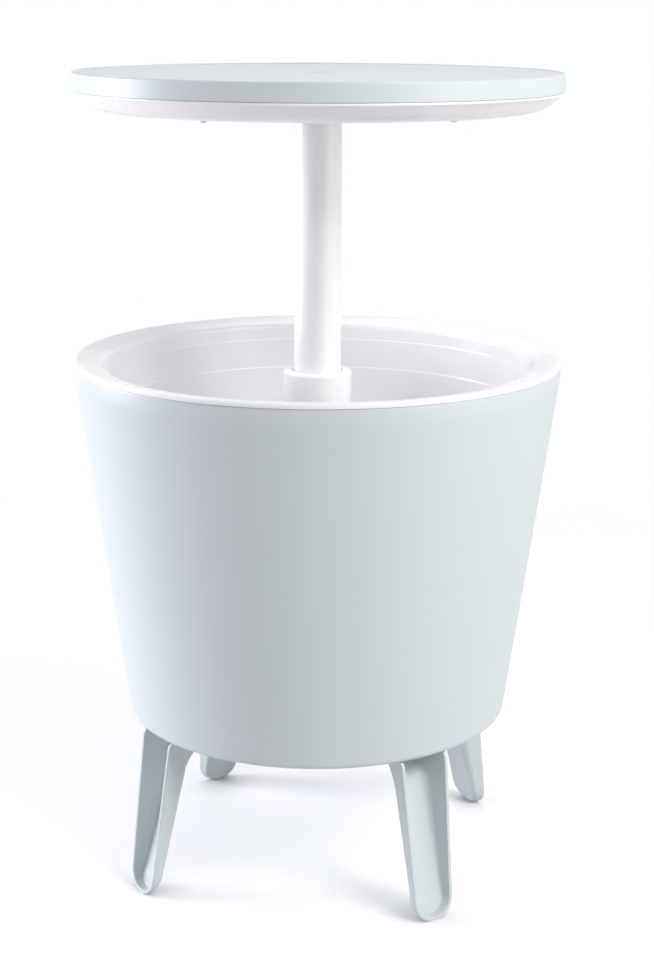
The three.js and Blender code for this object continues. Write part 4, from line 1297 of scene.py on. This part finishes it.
class TABLE_OT_drain(bpy.types.Operator):
    """Make the drain spout, its nuts, the plug and its seal"""

    bl_idname = "table.make_drain"
    bl_label = "Drain"

    def execute(self, context):
        b = context.scene.table_bucket
        place = (0, b.drain_offset, 0)
        self.make_spout(b, place)
        self.make_plug(b, place)
        return {"FINISHED"}

    def make_spout(self, b, place):
        flange_thick, nut_edge, nut_gap = 2 * MM, 0.8 * MM, 0.3 * MM
        low, high = heights("drain_spout")
        flange = high - flange_thick
        spout = eased("spout", [
            (b.spout_bore, low, FINE), (b.spout_radius, low, SMALL), (b.spout_radius, flange, 0),
            (b.spout_flange, flange, FINE), (b.spout_flange, high, FULL),
            (b.spout_bore, high, FULL)], 64, 4, None, place)
        dress(spout, "stand", "white_plastic", "drain_spout")
        nuts = []
        for node in ("drain_nut_liner", "drain_nut_shell"):
            low, high = heights(node)
            nut = hexed(node + "_look", b.nut_radius, low, high, nut_edge)
            nut.data.transform(Matrix.Translation(place))
            carve(nut, [bar("hole", b.spout_radius + nut_gap, low - PAST, high + PAST, 64, place)])
            nuts.append(nut)
        nuts[0].name = "spout_nuts"
        add_beside(nuts[0], nuts[1:])
        dress(nuts[0], "stand", "white_plastic", "drain_nut_liner", "drain_nut_shell")

    def make_plug(self, b, place):
        knob_height, knob_edge, flute_depth, flutes = 9.5 * MM, 1.2 * MM, 1.0 * MM, 8
        coin_short, coin_wide, coin_deep, ring_wall = 4 * MM, 2 * MM, 4 * MM, 2.4 * MM
        low, high = heights("drain_plug")
        knob_top = low + knob_height
        spigot = b.spout_bore - FIT_GAP

        def fluted(radius, height, angle):
            if height > knob_top + 0.1 * MM or radius < b.spout_radius:
                return radius
            return radius - flute_depth * (0.5 - 0.5 * math.cos(flutes * angle)) ** 2

        plug = eased("plug_knob", [
            (0, low, 0), (b.knob_radius, low, knob_edge), (b.knob_radius, knob_top, SOFT),
            (spigot, knob_top, 0), (spigot, high, SOFT), (0, high, 0)], 96, 5, fluted, place)
        coin = block("coin", (b.knob_radius * 2 - coin_short, coin_wide, coin_deep), (0, 0, low))
        coin.data.transform(Matrix.Translation(place))
        carve(plug, [coin])
        dress(plug, "plug", "white_plastic", "drain_plug")
        low, high = heights("drain_seal")
        ring = b.spout_bore + ring_wall
        seal = eased("plug_ring", [
            (b.spout_bore, low, CRISP), (ring, low, FINE), (ring, high, FINE),
            (b.spout_bore, high, CRISP)], 64, 4, None, place)
        dress(seal, "plug", "seal_rubber", "drain_seal")


# Stage


# Name, degrees to the right of the camera's side and above the floor, distance, width and height,
# watts and colour of each lamp
LAMPS = (
    ("Left strip", -92, 10, 3.0, (0.7, 1.8), 45, (0.93, 0.91, 1.0)),
    ("Left wash", -104, 10, 3.0, (0.7, 1.8), 50, (0.995, 0.985, 1.0)),
    ("Right low", 62, 12, 3.0, (2.2, 1.6), 27, (0.99, 1.0, 0.96)),
    ("Right edge", 105, 12, 3.0, (0.9, 1.6), 5.5, (0.99, 0.995, 1.0)),
    ("Right key", 45, 40, 3.0, (1.2, 1.2), 56, (1.0, 0.99, 0.985)),
    ("Front fill", -35, 25, 3.2, (1.2, 1.2), 5.5, (0.91, 0.94, 1.0)),
    ("Back top", 180, 50, 3.0, (1.8, 1.2), 18, (0.94, 0.915, 1.0)),
)
# Turn of the side that the lamps are placed from, towards +X from the front
CAMERA_SIDE = 11.3
LAMP_AIM = Vector((0, 0, 0.45))


def softbox(name, beside, elevation, distance, size, power, colour):
    """An area lamp that faces the middle of the table."""
    data = bpy.data.lights.new(name, "AREA")
    data.color = colour
    data.shape = "RECTANGLE"
    data.size, data.size_y = size
    data.energy = power
    lamp = new_object(name, data)
    a, e = math.radians(CAMERA_SIDE + beside), math.radians(elevation)
    lamp.location = LAMP_AIM + distance * Vector((math.sin(a) * math.cos(e),
                                                  -math.cos(a) * math.cos(e), math.sin(e)))
    lamp.rotation_euler = (LAMP_AIM - lamp.location).to_track_quat("-Z", "Y").to_euler()


class TABLE_OT_stage(bpy.types.Operator):
    """Make the pale floor, the soft light and the camera"""

    bl_idname = "table.make_stage"
    bl_label = "Stage"

    def execute(self, context):
        scene = context.scene
        self.make_floor(scene)
        self.make_world(scene)
        for lamp in LAMPS:
            softbox(*lamp)
        self.make_camera(scene)
        scene.view_settings.view_transform = "Standard"
        return {"FINISHED"}

    def make_floor(self, scene):
        """A pale floor that fades to white far out, has a painted contact shade round the feet and
        is clear from below.
        """
        half = 30.0
        # the contact reach is how far the painted contact shade spreads round each foot
        fade_start, fade_end, painted_shade_reach = 0.45, 1.6, 0.045
        open_range, glow_range, glow_colour = (0.35, 1.0), (0.06, 0.45), (0.93, 0.935, 1.0, 1.0)
        floor = new_object("floor", new_mesh("floor", [
            (-half, -half, 0), (half, -half, 0), (half, half, 0), (-half, half, 0)],
            [(0, 1, 2, 3)]))
        material = bpy.data.materials.new("Studio floor")
        material.use_nodes = True
        wiring = Wiring(material.node_tree)
        add, times = wiring.add, wiring.times
        shader = material.node_tree.nodes["Principled BSDF"]
        shader.inputs["Base Color"].default_value = (*scene.table_finish.floor, 1.0)
        shader.inputs["Roughness"].default_value = 0.8
        seen = wiring.seen_rays()
        reach = add("ShaderNodeVectorMath", {0: add("ShaderNodeTexCoord", {})["Object"]},
                    operation="LENGTH")["Value"]
        far = wiring.map_range(reach, fade_start, fade_end, 0.0, 1.0)
        faded = add("ShaderNodeMixShader", {0: times(seen, far), 1: shader.outputs[0],
                                            2: add("ShaderNodeEmission", {})[0]})
        # a faint glow of its own near the table, with painted contact shade: ambient occlusion dims
        # the glow close to a foot
        painted_contact_shade = add("ShaderNodeAmbientOcclusion", {"Distance": painted_shade_reach})["AO"]
        glow = times(wiring.maths("SUBTRACT", 1.0, far),
                     wiring.map_range(painted_contact_shade, *open_range, *glow_range))
        near = add("ShaderNodeEmission", {"Color": glow_colour, "Strength": times(seen, glow)})
        both = add("ShaderNodeAddShader", {0: faded[0], 1: near[0]})
        sided = add("ShaderNodeMixShader", {
            0: add("ShaderNodeNewGeometry", {})["Backfacing"], 1: both[0],
            2: add("ShaderNodeBsdfTransparent", {})[0]})
        wiring.feed(material.node_tree.nodes["Material Output"].inputs["Surface"], sided[0])
        floor.data.materials.append(material)

    def make_world(self, scene):
        """White where it is seen, dim as a light."""
        light_strength, seen_strength = 0.16, 1.0
        world = bpy.data.worlds.new("Studio")
        scene.world = world
        world.use_nodes = True
        light = world.node_tree.nodes["Background"]
        light.inputs["Color"].default_value = (1.0, 1.0, 1.0, 1.0)
        wiring = Wiring(world.node_tree)
        wiring.feed(light.inputs["Strength"], wiring.map_range(
            wiring.seen_rays(), 0.0, 1.0, light_strength, seen_strength))

    def make_camera(self, scene):
        """The photograph's camera, as fitted to its outlines."""
        sensor, pixels_wide, pixels_high, lens, clip_end = 36.0, 654, 980, 70.56, 200.0
        azimuth, pitch, roll = math.radians(11.34), math.radians(14.454), -0.0040
        distance, aside, height = 1.9729, 0.01036, 0.9140
        data = bpy.data.cameras.new("Camera")
        data.sensor_fit = "VERTICAL"
        data.sensor_height = sensor
        data.sensor_width = sensor * pixels_wide / pixels_high
        data.lens = lens
        data.clip_end = clip_end
        camera = new_object("Camera", data)
        right = Vector((math.cos(azimuth), math.sin(azimuth), 0))
        ahead = Vector((-math.sin(azimuth), math.cos(azimuth), 0))
        forward = ahead * math.cos(pitch) - Vector((0, 0, math.sin(pitch)))
        up = ahead * math.sin(pitch) + Vector((0, 0, math.cos(pitch)))
        rolled_right = right * math.cos(roll) - up * math.sin(roll)
        rolled_up = right * math.sin(roll) + up * math.cos(roll)
        camera.matrix_world = Matrix((rolled_right, rolled_up, -forward)).transposed().to_4x4()
        camera.location = -ahead * distance + right * aside + Vector((0, 0, height))
        scene.camera = camera


# Panel and start


class TABLE_PT_panel(bpy.types.Panel):
    """The table's steps and sizes"""

    bl_label = "Ice Bucket Table"
    bl_idname = "TABLE_PT_panel"
    bl_space_type = "VIEW_3D"
    bl_region_type = "UI"
    bl_category = "Table"

    def draw(self, context):
        column = self.layout.column(align=True)
        for step in STEPS:
            column.operator(step.bl_idname)
        for label in ("Finish", "Top", "Bucket", "Legs", "Lift"):
            group = getattr(context.scene, "table_" + label.lower())
            box = self.layout.box()
            box.label(text=label)
            for name in group.__annotations__:
                box.prop(group, name)


STEPS = (
    TABLE_OT_bucket_shell, TABLE_OT_bucket_liner, TABLE_OT_legs, TABLE_OT_pole, TABLE_OT_collar,
    TABLE_OT_top, TABLE_OT_pan, TABLE_OT_screws, TABLE_OT_tie_rod, TABLE_OT_drain, TABLE_OT_stage,
)
GROUPS = (
    ("table_bucket", TABLE_PG_bucket), ("table_legs", TABLE_PG_legs), ("table_lift", TABLE_PG_lift),
    ("table_top", TABLE_PG_top), ("table_finish", TABLE_PG_finish),
)


def register():
    for name, group in GROUPS:
        bpy.utils.register_class(group)
        setattr(bpy.types.Scene, name, PointerProperty(type=group))
    for step in STEPS:
        bpy.utils.register_class(step)
    bpy.utils.register_class(TABLE_PT_panel)


def unregister():
    bpy.utils.unregister_class(TABLE_PT_panel)
    for step in reversed(STEPS):
        bpy.utils.unregister_class(step)
    for name, group in reversed(GROUPS):
        delattr(bpy.types.Scene, name)
        bpy.utils.unregister_class(group)


def main():
    register()
    bpy.ops.table.make_bucket_shell()
    bpy.ops.table.make_bucket_liner()
    bpy.ops.table.make_legs()
    bpy.ops.table.make_pole()
    bpy.ops.table.make_collar()
    bpy.ops.table.make_top()
    bpy.ops.table.make_pan()
    bpy.ops.table.make_screws()
    bpy.ops.table.make_tie_rod()
    bpy.ops.table.make_drain()
    bpy.ops.table.make_stage()


if __name__ == "__main__":
    main()
